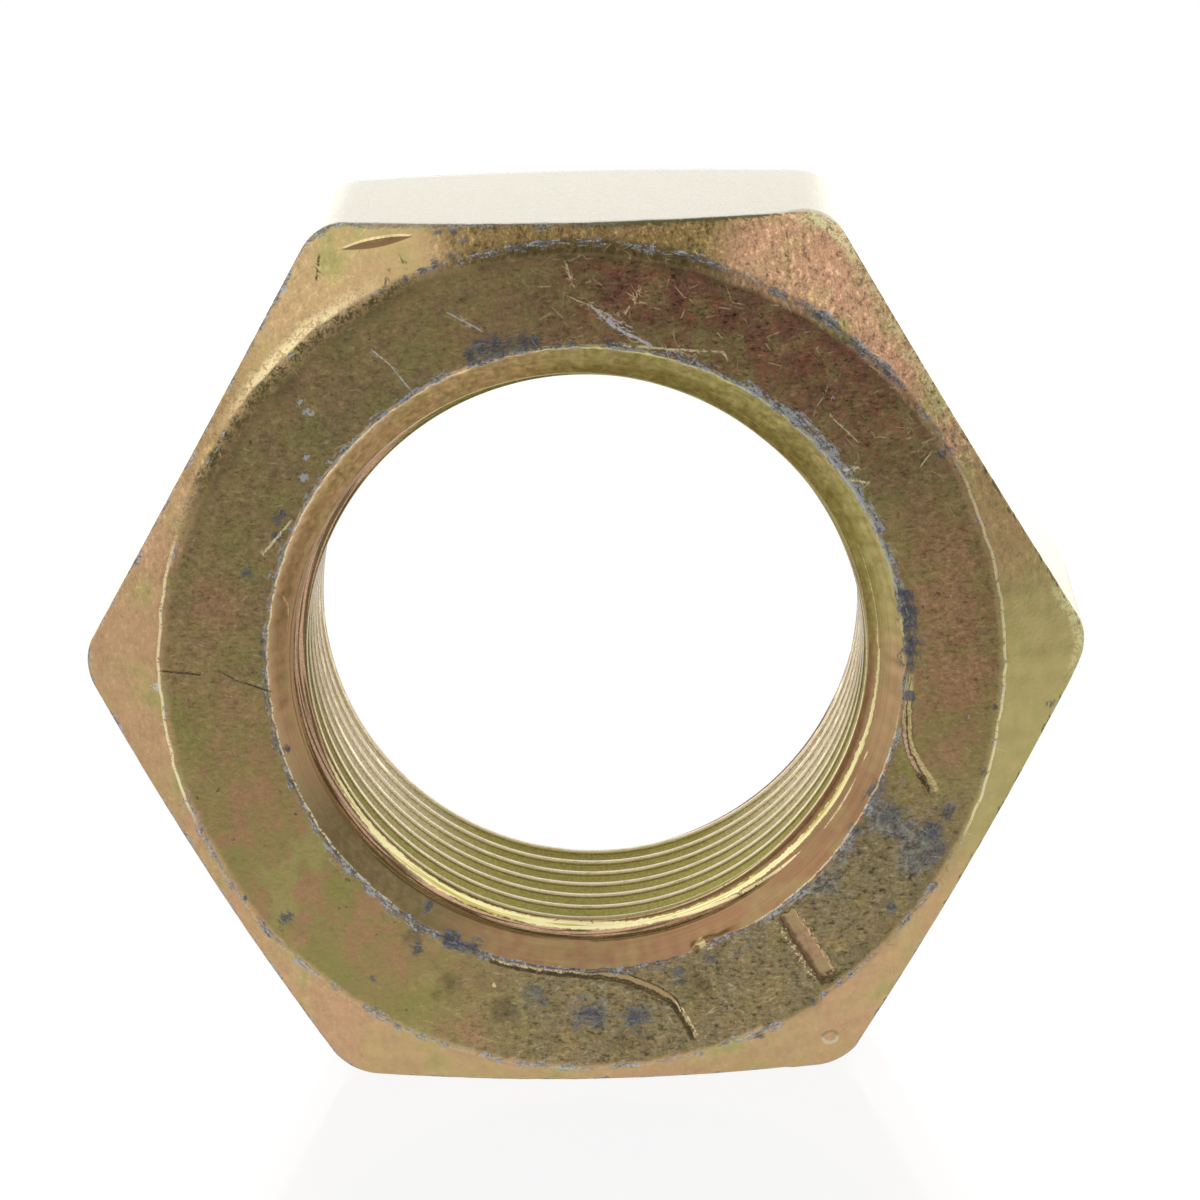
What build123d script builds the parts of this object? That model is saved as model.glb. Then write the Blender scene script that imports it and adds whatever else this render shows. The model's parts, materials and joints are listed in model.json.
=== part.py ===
from build123d import *
import os
from math import radians, sqrt, tan

# Thin hexagon nut with its thread axis along Y, standing on one of its six flats.
# The origin is on the thread's axis, halfway between the two bearing faces.

# Driving dimensions in millimetres and degrees
across_flats = 47.2
thickness = 18.3
corner_round = 2.8
face_inset = 0.95
chamfer_angle = 30.0
thread_diameter = 31.75
thread_height = 0.925
mouth_margin = 1.17
countersink_angle = 90.0
edge_round = 0.3

# Sizes that follow from them
across_corners = across_flats * 2 / sqrt(3)
half_thickness = thickness / 2
bearing_radius = across_flats / 2 - face_inset
bore_radius = thread_diameter / 2 - thread_height
mouth_radius = thread_diameter / 2 + mouth_margin
countersink_depth = (mouth_radius - bore_radius) / tan(radians(countersink_angle / 2))
# The turned blank only has to reach past the sharp corners of the bar.
blank_radius = across_corners / 2 + 1
chamfer_drop = (blank_radius - bearing_radius) * tan(radians(chamfer_angle))


def hexagon_bar():
    """Six-sided bar along Y with two flats level, its long edges rolled to a small radius."""
    with BuildPart() as bar:
        with BuildSketch(Plane.XZ):
            RegularPolygon(radius=across_flats / 2, side_count=6, major_radius=False)
        extrude(amount=half_thickness, both=True)
        fillet(bar.edges().filter_by(Axis.Y), radius=corner_round)
    return bar.part


def turned_outline():
    """Half section of what the lathe leaves: two bearing faces and a chamfer behind each."""
    with BuildSketch(Plane.XY) as section:
        with BuildLine():
            Polyline(
                (0, -half_thickness),
                (bearing_radius, -half_thickness),
                (blank_radius, chamfer_drop - half_thickness),
                (blank_radius, half_thickness - chamfer_drop),
                (bearing_radius, half_thickness),
                (0, half_thickness),
                close=True,
            )
        make_face()
        rims = section.vertices().filter_by(lambda v: abs(v.X - bearing_radius) < 1e-6)
        fillet(rims, radius=edge_round)
    return section.sketch


def bore_outline():
    """Half section of the tapped hole at its crests, with a countersink at each mouth."""
    with BuildSketch(Plane.XY) as section:
        with BuildLine():
            Polyline(
                (0, -half_thickness),
                (mouth_radius, -half_thickness),
                (bore_radius, countersink_depth - half_thickness),
                (bore_radius, half_thickness - countersink_depth),
                (mouth_radius, half_thickness),
                (0, half_thickness),
                close=True,
            )
        make_face()
    return section.sketch


def hex_nut():
    """The bar, turned to its chamfered faces and bored through, with the mouths' rims broken."""
    turned = revolve(turned_outline(), axis=Axis.Y)
    bored = revolve(bore_outline(), axis=Axis.Y)
    nut = (hexagon_bar() & turned) - bored
    rims = (
        nut.edges()
        .filter_by(GeomType.CIRCLE)
        .filter_by(lambda e: abs(e.radius - mouth_radius) < 1e-3)
    )
    return fillet(rims, radius=edge_round)


os.makedirs("parts", exist_ok=True)
export_step(hex_nut(), "parts/hex_nut.step")
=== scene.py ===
import json
from math import cos, pi, radians, sin, sqrt, tan

import bpy
import numpy as np
from mathutils import Matrix, Vector


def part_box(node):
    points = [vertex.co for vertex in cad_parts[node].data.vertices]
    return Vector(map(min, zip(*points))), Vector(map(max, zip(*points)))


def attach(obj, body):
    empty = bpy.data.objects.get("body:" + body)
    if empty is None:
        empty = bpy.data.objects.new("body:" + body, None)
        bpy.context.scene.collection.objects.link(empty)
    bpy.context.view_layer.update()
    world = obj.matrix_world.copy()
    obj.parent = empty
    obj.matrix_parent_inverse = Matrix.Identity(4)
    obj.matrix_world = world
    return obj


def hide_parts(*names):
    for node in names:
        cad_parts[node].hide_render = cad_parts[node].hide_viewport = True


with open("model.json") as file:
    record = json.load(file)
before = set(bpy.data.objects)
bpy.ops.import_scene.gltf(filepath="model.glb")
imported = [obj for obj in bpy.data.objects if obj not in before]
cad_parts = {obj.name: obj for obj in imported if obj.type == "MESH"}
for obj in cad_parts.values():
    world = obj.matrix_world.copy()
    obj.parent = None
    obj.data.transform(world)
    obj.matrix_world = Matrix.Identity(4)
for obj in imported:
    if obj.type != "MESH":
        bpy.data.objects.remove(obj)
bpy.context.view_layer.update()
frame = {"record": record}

# Sizes of the nut in millimetres, read from the solid and its thread mount where they are given there
MM = 0.001
low, high = (np.array(corner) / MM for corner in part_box("hex_nut"))
ACROSS_FLATS = float(high[2] - low[2])
THICKNESS = float(high[1] - low[1])
CORNER_REACH = float(high[0])
FRONT = float(low[1])
BACK = float(high[1])
BENCH = float(low[2])
THREAD = next(m for m in frame["record"]["mounts"] if m["name"] == "thread")
CREST_RADIUS = THREAD["dims"]["r_mm"]
MOUTH_DEPTH = (THICKNESS - THREAD["dims"]["length_mm"]) / 2
CORNER_ROUND = (ACROSS_FLATS / sqrt(3) - CORNER_REACH) / (2 / sqrt(3) - 1)

# Sizes shared with the solid, and those of the thread, which only this script cuts
BEARING_RADIUS = 22.65
CHAMFER = radians(30)
MOUTH_RADIUS = CREST_RADIUS + MOUTH_DEPTH
PITCH = 25.4 / 12
ROOT_RADIUS = 31.75 / 2
CREST_START = 0.22
CREST_HALF = 0.185
CREST_CROWN = 0.07
ROOT_HALF = 0.0625
CONE_FOOT = MOUTH_RADIUS - ROOT_RADIUS - 0.02

# Stage, in millimetres: where the bench starts in front of the nut, and the camera's place, turns and lens
BENCH_START = -75
CAMERA_PLACE = (7.433, -285.747, 71.893)
CAMERA_YAW, CAMERA_PITCH, CAMERA_ROLL = radians(1.3477), radians(90 - 13.907), radians(-1.581)
LENS_LENGTH = 160.914

# How finely the skin is divided round the axis: the front is fine, the rest has a third of its columns
FINE_COLUMNS = 960
COARSE = 3

# The front face lies this far behind the solid's, so that burrs beside the gouges stay inside it
BURR_ROOM = 0.035
BACK_ROOM = 0.01

# Place along the axis from which the finish counts as the front's, as the start and end of an eased step
AT_FACE = (-8.0, -8.5)
AT_CHAMFER = (-6.0, -6.5)

# Marks on the front, as points (x, z) in millimetres on the bearing face or the chamfer;
# pits are (x, z, reach, depth)
GRADE_BAR = [(10.50, -14.12), (12.76, -17.94)]
BAR_HALF = 0.54
BAR_CORNER = 0.26
LOWER_GOUGE = [(-5.8, -16.25), (-4.9, -16.68), (-3.4, -17.03), (-1.8, -17.29), (0.4, -17.51),
               (1.71, -17.77), (3.05, -18.31), (4.28, -19.05), (4.85, -20.0), (5.5, -21.3)]
RIGHT_GOUGE = [(17.20, -1.0), (17.17, -2.6), (17.15, -4.43), (17.38, -5.45),
               (17.82, -6.38), (18.30, -7.1), (18.58, -7.7)]
CHAMFER_SLIT = [(-12.29, 22.27), (-10.42, 22.60), (-8.34, 23.02)]
RING_DENT = (12.77, -21.75)
RING_RADIUS = 0.40
PITS = [
    (-16.66, -13.85, 0.42, 0.05), (-9.32, -15.88, 0.5, 0.04), (21.9, -6.45, 0.4, 0.06),
    (20.4, -9.9, 0.5, 0.04), (19.2, 10.85, 0.38, 0.06), (-14.3, 14.0, 0.45, 0.05),
    (4.1, -17.3, 0.5, 0.05), (-20.9, 14.4, 0.4, 0.04), (17.0, -3.4, 0.3, 0.05), (9.0, 18.5, 0.4, 0.03),
]

# Places on the front worn to slate, to white zinc or to a golden shine, as (x, z, reach) in millimetres
SLATE_SPOTS = [
    (17.33, 3.2, 0.50), (17.36, 2.4, 0.56), (17.36, 1.6, 0.60), (17.34, 0.8, 0.60), (17.34, 0.1, 0.58),
    (17.33, -0.5, 0.46), (-5.6, 16.85, 0.42), (-5.0, 17.15, 0.55), (-4.2, 17.3, 0.62), (-3.5, 17.4, 0.60),
    (-2.8, 17.5, 0.50), (-2.1, 17.5, 0.40), (-8.8, 20.95, 0.24), (-8.0, 21.3, 0.26), (-7.2, 21.7, 0.26),
    (-6.3, 22.05, 0.30), (-5.75, 22.8, 0.26), (-7.0, 23.25, 0.20), (-6.2, 23.2, 0.20), (-16.2, 8.1, 0.40),
    (-16.0, 7.3, 0.42), (-15.8, 8.5, 0.30), (-17.79, 5.24, 0.28), (-16.75, 4.3, 0.26), (-17.2, 0.9, 0.26),
    (-17.2, 1.5, 0.22), (-21.84, 7.01, 0.16), (-16.51, -13.83, 0.42), (-9.47, -15.91, 0.46),
    (-8.86, -13.76, 0.28), (-18.62, -12.75, 0.18), (-11.95, -17.5, 0.20), (-0.34, -19.54, 0.95),
    (-3.15, -18.74, 0.75), (2.1, -20.0, 0.90), (-6.48, -15.83, 0.50), (-7.6, -15.4, 0.50),
    (-16.1, -4.5, 0.22), (15.43, -7.44, 0.70), (16.43, -8.85, 0.70), (18.19, -11.11, 0.72),
    (16.17, -14.01, 0.34), (19.35, -8.78, 0.42), (14.35, -9.56, 0.32), (4.55, -17.4, 0.30),
    (4.7, -18.1, 0.30), (6.19, -16.64, 0.34), (11.83, -19.29, 0.30), (8.94, -21.2, 0.30),
    (19.06, 10.81, 0.34), (20.19, 8.64, 0.16), (21.86, -3.05, 0.22), (21.19, -6.54, 0.40),
    (18.29, -9.73, 0.60), (24.89, -3.29, 0.26), (-26.1, 1.6, 0.24),
]
WHITE_SPOTS = [
    (-14.6, 14.5, 0.22), (-14.3, 13.95, 0.24), (-14.0, 13.8, 0.18), (-14.4, 11.49, 0.20),
    (-14.6, 10.4, 0.28), (-13.2, 11.2, 0.22), (-22.86, -0.93, 0.30), (20.38, -3.46, 0.14),
    (13.45, 14.0, 0.14), (6.3, -15.95, 0.24),
]
GOLDEN_SPOTS = [
    (5.85, -15.85, 0.28), (26.75, 1.0, 0.16), (26.6, 2.0, 0.16), (12.4, 24.0, 0.18), (13.2, 23.5, 0.24),
    (13.85, 22.6, 0.20), (-5.4, -17.94, 0.14),
]

# Places where the film is green (1), rose (-1), dark or veiled with slate, as (x, z, reach, share)
FILM_TURNS = [
    (-13.4, -16.4, 2.3, 1), (-9.6, -18.6, 2.0, 1), (-15.8, -17.0, 1.2, 1), (-13.3, -12.9, 1.6, 1),
    (-21.9, -2.4, 1.1, 1), (-21.3, -4.4, 1.0, 1), (-7.3, -22.0, 1.0, 1), (17.5, -5.8, 1.3, 1),
    (-12.8, 19.9, 1.8, 0.8), (-18.8, -10.7, 1.6, 0.7), (-12.6, -15.0, 1.7, -1), (-10.4, -16.6, 1.5, -1),
    (-6.9, -20.8, 1.2, -1), (-19.6, 3.6, 2.0, -0.9), (-18.9, -1.8, 1.7, -0.7), (-17.9, -7.2, 1.8, -0.8),
    (18.9, 2.4, 1.9, -1), (19.6, -1.6, 2.0, -1), (19.6, 5.6, 1.6, -0.8), (-14.5, 17.2, 2.0, -0.6),
    (18.9, -5.6, 1.4, -0.7),
]
DARK_FILMS = [
    (2.0, 22.7, 1.1, 1), (-0.5, 22.5, 0.9, 1), (5.0, 21.9, 1.0, 0.9), (-4.4, 21.9, 1.2, 0.8),
    (7.6, 20.6, 0.9, 0.7), (-7.6, -18.0, 1.3, 0.7), (-5.0, -19.2, 1.4, 0.8), (-9.2, -15.2, 1.2, 0.7),
    (5.6, -18.6, 1.2, 0.8), (-15.6, 15.4, 1.4, 0.6), (-18.6, 11.0, 1.4, 0.6), (1.8, -21.2, 1.2, 0.7),
    (9.2, 19.2, 1.2, 0.5), (18.4, 10.2, 1.0, 0.4),
]
SLATE_VEILS = [
    (14.9, -8.4, 1.2, 0.9), (16.6, -9.4, 1.3, 1), (18.2, -10.7, 1.1, 1), (17.2, -11.8, 0.9, 0.9),
    (13.2, -10.8, 1.3, 0.9), (12.4, -12.5, 1.0, 0.8), (19.2, -8.4, 0.8, 0.8), (16.9, -6.9, 0.7, 0.7),
    (-0.4, -19.5, 1.3, 0.8), (2.3, -19.9, 1.2, 0.8), (-3.3, -18.7, 1.0, 0.7), (8.0, -16.4, 0.9, 0.7),
    (13.8, -13.6, 0.8, 0.6), (-16.0, -4.6, 0.9, 0.5), (-16.6, -1.6, 0.8, 0.5), (-16.9, -13.4, 0.9, 0.5),
]

# Scratches on the front, as (points (x, z), half width, strength, tone); tones: -1 dark, 0 golden, 1 white
SCRATCHES = [
    ([(0.83, 19.33), (2.11, 18.07), (3.92, 17.12)], 0.09, 0.85, 1),
    ([(1.6, 18.75), (2.9, 18.1)], 0.05, 0.7, 1),
    ([(-10.7, 17.19), (-9.78, 16.37), (-8.67, 14.89)], 0.045, 0.7, 1),
    ([(-6.63, 19.07), (-4.98, 18.12)], 0.05, 0.7, 1), ([(-0.26, 19.79), (2.0, 18.71)], 0.035, 0.7, 0),
    ([(3.5, 20.14), (2.63, 18.76)], 0.045, 0.7, 0), ([(2.78, 19.91), (3.76, 19.31)], 0.035, 0.6, 0),
    ([(2.61, 17.1), (5.49, 16.81), (7.8, 16.65), (7.95, 16.28)], 0.06, 0.85, 0),
    ([(-15.39, 8.02), (-16.22, 7.05), (-16.95, 6.25)], 0.07, 0.9, 0),
    ([(14.05, 10.16), (14.84, 10.31)], 0.06, 0.9, 0), ([(14.3, 9.61), (15.25, 9.43)], 0.06, 0.9, 0),
    ([(-0.42, 21.64), (-0.03, 20.41)], 0.06, 0.7, 0), ([(13.3, 13.1), (14.7, 11.7)], 0.035, 0.7, 0),
    ([(-22.67, 0.01), (-20.54, -0.26)], 0.06, 0.9, -1),
    ([(-19.46, -0.11), (-18.68, -0.57), (-16.84, -1.28)], 0.045, 0.9, -1),
    ([(-15.98, 3.83), (-15.76, 3.3), (-15.74, 2.72), (-15.72, 2.08)], 0.04, 0.8, 0),
    ([(15.01, -5.6), (14.51, -6.62), (14.06, -7.7), (13.4, -8.8), (12.68, -9.75)], 0.035, 0.8, 0),
    ([(-13.42, 21.94), (-13.48, 21.35), (-13.59, 20.81)], 0.07, 0.9, -1),
    ([(-9.03, 21.96), (-8.83, 21.51)], 0.05, 0.8, -1), ([(-9.69, 21.36), (-9.88, 20.65)], 0.06, 0.8, -1),
    ([(18.0, 10.2), (18.6, 11.0)], 0.04, 0.7, 0),
]

# Names of the values that the skin carries for its finish
VALUES = ("places", "zones", "marks", "tints", "lines", "edges", "spots", "patches", "scratches", "clouds",
          "right_gouge", "low_gouge", "bands", "grooves", "shine")


def smooth(edge0, edge1, value):
    """Eased step: 0 below edge0, 1 above edge1, 3t^2 - 2t^3 between them."""
    t = np.clip((value - edge0) / (edge1 - edge0), 0, 1)
    return t * t * (3 - 2 * t)


def ripple(points, wavelength, seed, waves=14):
    """Smooth noise of about -1 to 1: a sum of plane waves with random directions, lengths and phases."""
    draw = np.random.default_rng(seed)
    total = np.zeros(points.shape[:-1])
    for _ in range(waves):
        direction = draw.normal(size=points.shape[-1])
        direction /= np.linalg.norm(direction)
        stretch = draw.uniform(0.6, 1.6)
        total += np.sin(points @ direction * 2 * pi * stretch / wavelength + draw.uniform(0, 2 * pi))
    return total / sqrt(waves)


def around(angle, radius):
    """Points on a circle of that radius, for noise that has to close on itself."""
    return np.stack([np.cos(angle), np.sin(angle)], -1) * radius


def window(angle, start, end, ease=4.0):
    """1 for an angle in degrees between start and end, eased to 0 outside."""
    middle, half = (start + end) / 2, (end - start) / 2
    away = np.abs((np.degrees(angle) - middle + 180) % 360 - 180)
    return 1 - smooth(half - ease / 2, half + ease / 2, away)


def arcs(angle, *rows):
    """Sum of windows round the axis, each given as (amount, start, end, ease) with angles in degrees."""
    return sum(amount * window(angle, start, end, ease) for amount, start, end, ease in rows)


def column_angles():
    """Angles of the columns round the axis: closer at the six corners and where the face is marked."""
    sample = np.linspace(-pi, pi, 14401)
    from_corner = np.abs((np.degrees(sample) + 30) % 60 - 30)
    density = 1 + 1.8 * (from_corner < 4.2)
    density += 0.9 * window(sample, -114, -48) + 0.7 * window(sample, -26, 12)
    reach = np.concatenate([[0], np.cumsum((density[1:] + density[:-1]) / 2)])
    steps = np.arange(FINE_COLUMNS) / FINE_COLUMNS
    return np.interp(steps, reach / reach[-1], sample)


def hexagon_radius(angle):
    """Distance from the axis to the hexagon: a straight flat, or the arc of a rounded corner."""
    away = np.abs((angle + pi / 6) % (pi / 3) - pi / 6)
    flat = ACROSS_FLATS / 2 / np.cos(pi / 6 - away)
    centre = ACROSS_FLATS / sqrt(3) - CORNER_ROUND * 2 / sqrt(3)
    arc = centre * np.cos(away) + np.sqrt(np.maximum(CORNER_ROUND**2 - (centre * np.sin(away))**2, 0))
    tangent = pi / 6 - np.arctan2(centre / 2, ACROSS_FLATS / 2)
    return np.where(away < tangent, arc, flat)


def bearing_radius(angle, front):
    """Outer radius of a bearing face: the turned circle, a little out of true and ragged on the front."""
    if not front:
        return BEARING_RADIUS + 0.06 * np.cos(angle - 0.7)
    run_out = -0.17 * np.cos(angle) - 0.06 * np.sin(angle) - 0.10 * np.cos(2 * angle)
    rim = around(angle, BEARING_RADIUS)
    ragged = 0.03 * ripple(rim, 1.6, 5) + 0.03 * ripple(rim, 5, 6)
    spared = 0.30 * window(angle, -66, -57.4, 1.0)
    return BEARING_RADIUS + run_out + ragged + spared


def mouth_radius(angle, front):
    """Radius of a countersink's rim, a little out of true and ragged on the front."""
    if not front:
        return MOUTH_RADIUS + 0.03 * np.sin(angle + 1)
    run_out = 0.05 * np.cos(angle) - 0.06 * np.sin(angle) - 0.06 * np.cos(2 * angle)
    ragged = 0.025 * ripple(around(angle, MOUTH_RADIUS), 1.1, 8)
    return MOUTH_RADIUS + run_out + ragged


def mouth_bump(angle, front):
    """How far metal is pushed in over the front mouth beside the lower gouge, steep on one side."""
    if not front:
        return 0 * angle
    around_axis = np.degrees(angle)
    return 0.27 * smooth(-72.4, -70.8, around_axis) * (1 - smooth(-69, -59, around_axis))


def rim_wear(angle, front):
    """Width over which a face's outer rim is rubbed round, widest along the top of the front."""
    if not front:
        return 0.16 + 0 * angle
    worn = 0.42 * window(angle, 56, 108, 30) + 0.60 * window(angle, 118, 162, 22)
    return 0.13 + worn + 0.12 * window(angle, 18, 56, 14) + 0.10 * window(angle, 165, 215, 14)


def edge_wear(angle, front):
    """Width over which the hexagon's edge is rubbed round: most at the front's top right and right."""
    if not front:
        return 0.13 + 0 * angle
    return 0.13 + 0.75 * window(angle, 57, 64.5, 3) + 0.32 * window(angle, -3.5, 6, 4)


def face_section(angle, front):
    """Half of the nut's section at each angle, from the foot of a countersink out to the top of a flat.

    Straight lines run up the cone, along the bearing face and down the chamfer. Each corner between two
    lines is eased to a parabola: corner + width * ((1 - t)^2 * back along one + t^2 * on along the other).
    Gives arrays of rows by columns: radius, depth behind the face, and a name for each row.
    """
    cone_rows, face_rows, chamfer_rows, steps = (3, 27, 11, 5) if front else (2, 5, 3, 3)
    level = BURR_ROOM if front else BACK_ROOM
    sound_mouth = mouth_radius(angle, front)
    mouth = sound_mouth - mouth_bump(angle, front)
    bearing = bearing_radius(angle, front)
    hexagon = hexagon_radius(angle)
    zero = 0 * angle
    down_cone = (-sqrt(0.5), sqrt(0.5))
    outwards = (1.0, 0.0)
    down_chamfer = (cos(CHAMFER), sin(CHAMFER))
    down_flat = (0.0, 1.0)
    inwards = (-1.0, 0.0)
    up_chamfer = (-down_chamfer[0], -down_chamfer[1])
    corner_depth = level + (hexagon - bearing) * tan(CHAMFER)

    def eased(radius, depth, back, on, width, count):
        shares = np.linspace(0, 1, count)
        return [(radius + width * ((1 - t)**2 * back[0] + t**2 * on[0]),
                 depth + width * ((1 - t)**2 * back[1] + t**2 * on[1])) for t in shares]

    def straight(start, end, count, pull=0.0):
        shares = np.linspace(0, 1, count + 2)[1:-1]
        shares = shares - pull * shares * (1 - shares)
        return [(start[0] + (end[0] - start[0]) * s, start[1] + (end[1] - start[1]) * s) for s in shares]

    mouth_corner = eased(mouth, level + zero, down_cone, outwards, 0.11 + zero, steps)
    rim_corner = eased(bearing, level + zero, inwards, down_chamfer, rim_wear(angle, front), steps)
    edge_corner = eased(hexagon, corner_depth, up_chamfer, down_flat, edge_wear(angle, front), steps - 1)
    foot = (MOUTH_RADIUS - CONE_FOOT + 0.1 + zero, CONE_FOOT - 0.1 + zero)
    knee = (sound_mouth - 0.3, level + 0.3 + zero)
    stretches = [
        ("cone", [foot] + straight(foot, knee, cone_rows) + [knee]),
        ("mouth", mouth_corner),
        ("face", straight(mouth_corner[-1], rim_corner[0], face_rows, 0.35 if front else 0.0)),
        ("rim", rim_corner),
        ("chamfer", straight(rim_corner[-1], edge_corner[0], chamfer_rows)),
        ("edge", edge_corner),
    ]
    radius = np.array([r + zero for _, rows in stretches for r, _ in rows])
    depth = np.array([d + zero for _, rows in stretches for _, d in rows])
    names = np.array([name for name, rows in stretches for _ in rows])
    return radius, depth, names


def thread_radius(phase, depth):
    """Radius of the tapped hole: crowned crest, straight flanks, level root, or the cone where larger.

    Also gives how far each point is up the flank, 0 at a crest and 1 at a root, how near it is to
    a crest's middle, and how much the cone's radius exceeds the groove's.
    """
    away = np.abs((phase + 0.5) % 1 - 0.5)
    ramp = np.clip((away - CREST_HALF) / (0.5 - ROOT_HALF - CREST_HALF), 0, 1)
    crown = CREST_CROWN * np.minimum(away / CREST_HALF, 1)**2
    groove = CREST_RADIUS + crown + (ROOT_RADIUS - CREST_RADIUS - CREST_CROWN) * ramp
    cone = MOUTH_RADIUS - np.minimum(depth, THICKNESS - depth)
    return np.maximum(groove, cone), ramp, np.maximum(1 - away / CREST_HALF, 0), cone - groove


def thread_rows(angle):
    """The tapped hole as rows that follow the helix, so that each crest's edges run along rows.

    Depth is CREST_START + PITCH * (turns + 1/4 - share of a turn from the first column): it grows clockwise
    seen from the front, as on a right-hand thread. Past the countersinks' feet it stays at their depth.
    """
    step = 0.022
    phases = np.array([-CREST_HALF - step, -CREST_HALF + step, 0.0, CREST_HALF - step, CREST_HALF + step,
                       0.31, 0.5 - ROOT_HALF, 0.5 + ROOT_HALF, 0.69])
    near, far = CONE_FOOT, THICKNESS - CONE_FOOT
    first = int(np.floor((near - CREST_START) / PITCH - 0.25)) - 1
    last = int(np.ceil((far - CREST_START) / PITCH + 0.75)) + 1
    turns = (np.arange(first, last)[:, None] + phases[None, :]).ravel()
    share = (angle - angle[0]) / (2 * pi)
    wanted = CREST_START + PITCH * (turns[:, None] + 0.25 - share[None, :])
    depth = np.clip(wanted, near, far)
    phase = (depth - CREST_START) / PITCH - 0.25 + share[None, :]
    radius, ramp, crest, past_groove = thread_radius(phase, depth)
    # What lies nearer than the first whole crest, which is a turn further in by the time it meets its start
    first_crest = 1 + smooth(0.6, 0.9, share)
    start = 1 - smooth(-0.22, -0.12, phase - first_crest)
    wide = arcs(angle, (0.5, -160, 62, 24), (0.5, -140, -14, 30))
    wide_crest = wide * ((phase > 0.5) & (phase < 1.18))
    bands = np.stack([start, wide_crest, crest], -1)
    return radius, depth, ramp, past_groove, bands, len(phases)


def along(points, line):
    """Distance of each point from a broken line, and the share of its length at the nearest place."""
    line = np.array(line, float)
    lengths = np.linalg.norm(np.diff(line, axis=0), axis=1)
    starts = np.concatenate([[0], np.cumsum(lengths)])
    best = np.full(points.shape[:-1], 1e9)
    place = np.zeros(points.shape[:-1])
    for i, length in enumerate(lengths):
        step = (line[i + 1] - line[i]) / length
        offset = points - line[i]
        t = np.clip(offset @ step, 0, length)
        distance = np.linalg.norm(offset - t[..., None] * step, axis=-1)
        nearer = distance < best
        best = np.where(nearer, distance, best)
        place = np.where(nearer, (starts[i] + t) / starts[-1], place)
    return best, place


def trench(points, line, half_width, depth, lip=0.0, ragged=0.0):
    """Depth of a cut along a line: sloping walls, a level floor, and a burr that stands beside it.

    The half width is a number or a function of the share of the line's length.
    """
    distance, place = along(points, line)
    distance = distance + ragged * ripple(points, 0.8, 41)
    half = half_width(place) if callable(half_width) else half_width
    floor = depth * (1 - smooth(half * 0.60, half * 1.15, distance))
    burr = lip * np.exp(-((distance - half * 1.5) / (half * 0.35))**2)
    return floor - burr, place


def bar_cut(points):
    """Depth of the grade bar: a level floor with sloping walls, a 4.5 by 1.1 mm box with rounded corners.

    Away is the distance outside the box, below 0 inside; the floor's depth eases in from 0.06 to -0.2 mm.
    """
    start, end = (np.array(corner) for corner in GRADE_BAR)
    length = np.linalg.norm(end - start)
    step = (end - start) / length
    offset = points - (start + end) / 2
    ahead, aside = np.abs(offset @ step), np.abs(offset @ np.array([-step[1], step[0]]))
    beyond = np.maximum(ahead - length / 2 + BAR_CORNER, 0), np.maximum(aside - BAR_HALF + BAR_CORNER, 0)
    away = np.hypot(*beyond) - BAR_CORNER + 0.05 * ripple(points, 0.7, 41)
    return 0.20 * (1 - smooth(-0.20, 0.06, away)) - 0.03 * np.exp(-((away - 0.16) / 0.10)**2)


def gouge_width(place):
    """Half width of the lower gouge along its length: a scratch that opens into a torn floor."""
    return 0.10 + 0.20 * smooth(0.36, 0.52, place) * (1 - smooth(0.74, 0.90, place))


def beside(x, z, line, reach=2.0):
    """Signed distance from a broken line, held within reach, and the share of its length there."""
    points = np.stack([x, z], -1)
    distance, place = along(points, line)
    line = np.array(line, float)
    side = np.zeros(x.shape)
    best = np.full(x.shape, 1e9)
    for start, end in zip(line, line[1:]):
        near, _ = along(points, [start, end])
        step = (end - start) / np.linalg.norm(end - start)
        turn = step[0] * (z - start[1]) - step[1] * (x - start[0])
        side = np.where(near < best, np.sign(turn), side)
        best = np.minimum(near, best)
    return np.stack([np.clip(distance * side, -reach, reach), place, 0 * x], -1)


def spots(x, z):
    """Shares of slate, white and golden spots: exp(-(distance / reach)^2), drawn out sideways if wide."""
    cover = []
    for group in (SLATE_SPOTS, WHITE_SPOTS, GOLDEN_SPOTS):
        share = 0 * x
        for spot_x, spot_z, reach in group:
            wide = reach > 0.65
            away = ((x - spot_x) / (1.5 if wide else 1))**2 + (z - spot_z)**2
            share = np.maximum(share, (0.62 if wide else 1) * np.exp(-away / reach**2))
        cover.append(share)
    return np.stack(cover, -1)


def patches(x, z):
    """Turn to green or rose, dark share and slate veil: sums of share * exp(-(distance / reach)^2)."""
    cover = []
    for group in (FILM_TURNS, DARK_FILMS, SLATE_VEILS):
        total = 0 * x
        for patch_x, patch_z, reach, share in group:
            total = total + share * np.exp(-((x - patch_x)**2 + (z - patch_z)**2) / reach**2)
        cover.append(np.clip(total, -1, 1))
    return np.stack(cover, -1)


def clouds(points, wavelength, seed):
    """Drifting shade about 0.5: three ripples, each half as long and 0.6 as strong as the last."""
    total = sum(0.6**k * ripple(points, wavelength / 2**k, seed + k) for k in range(3))
    return 0.5 + 0.105 * total


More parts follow.
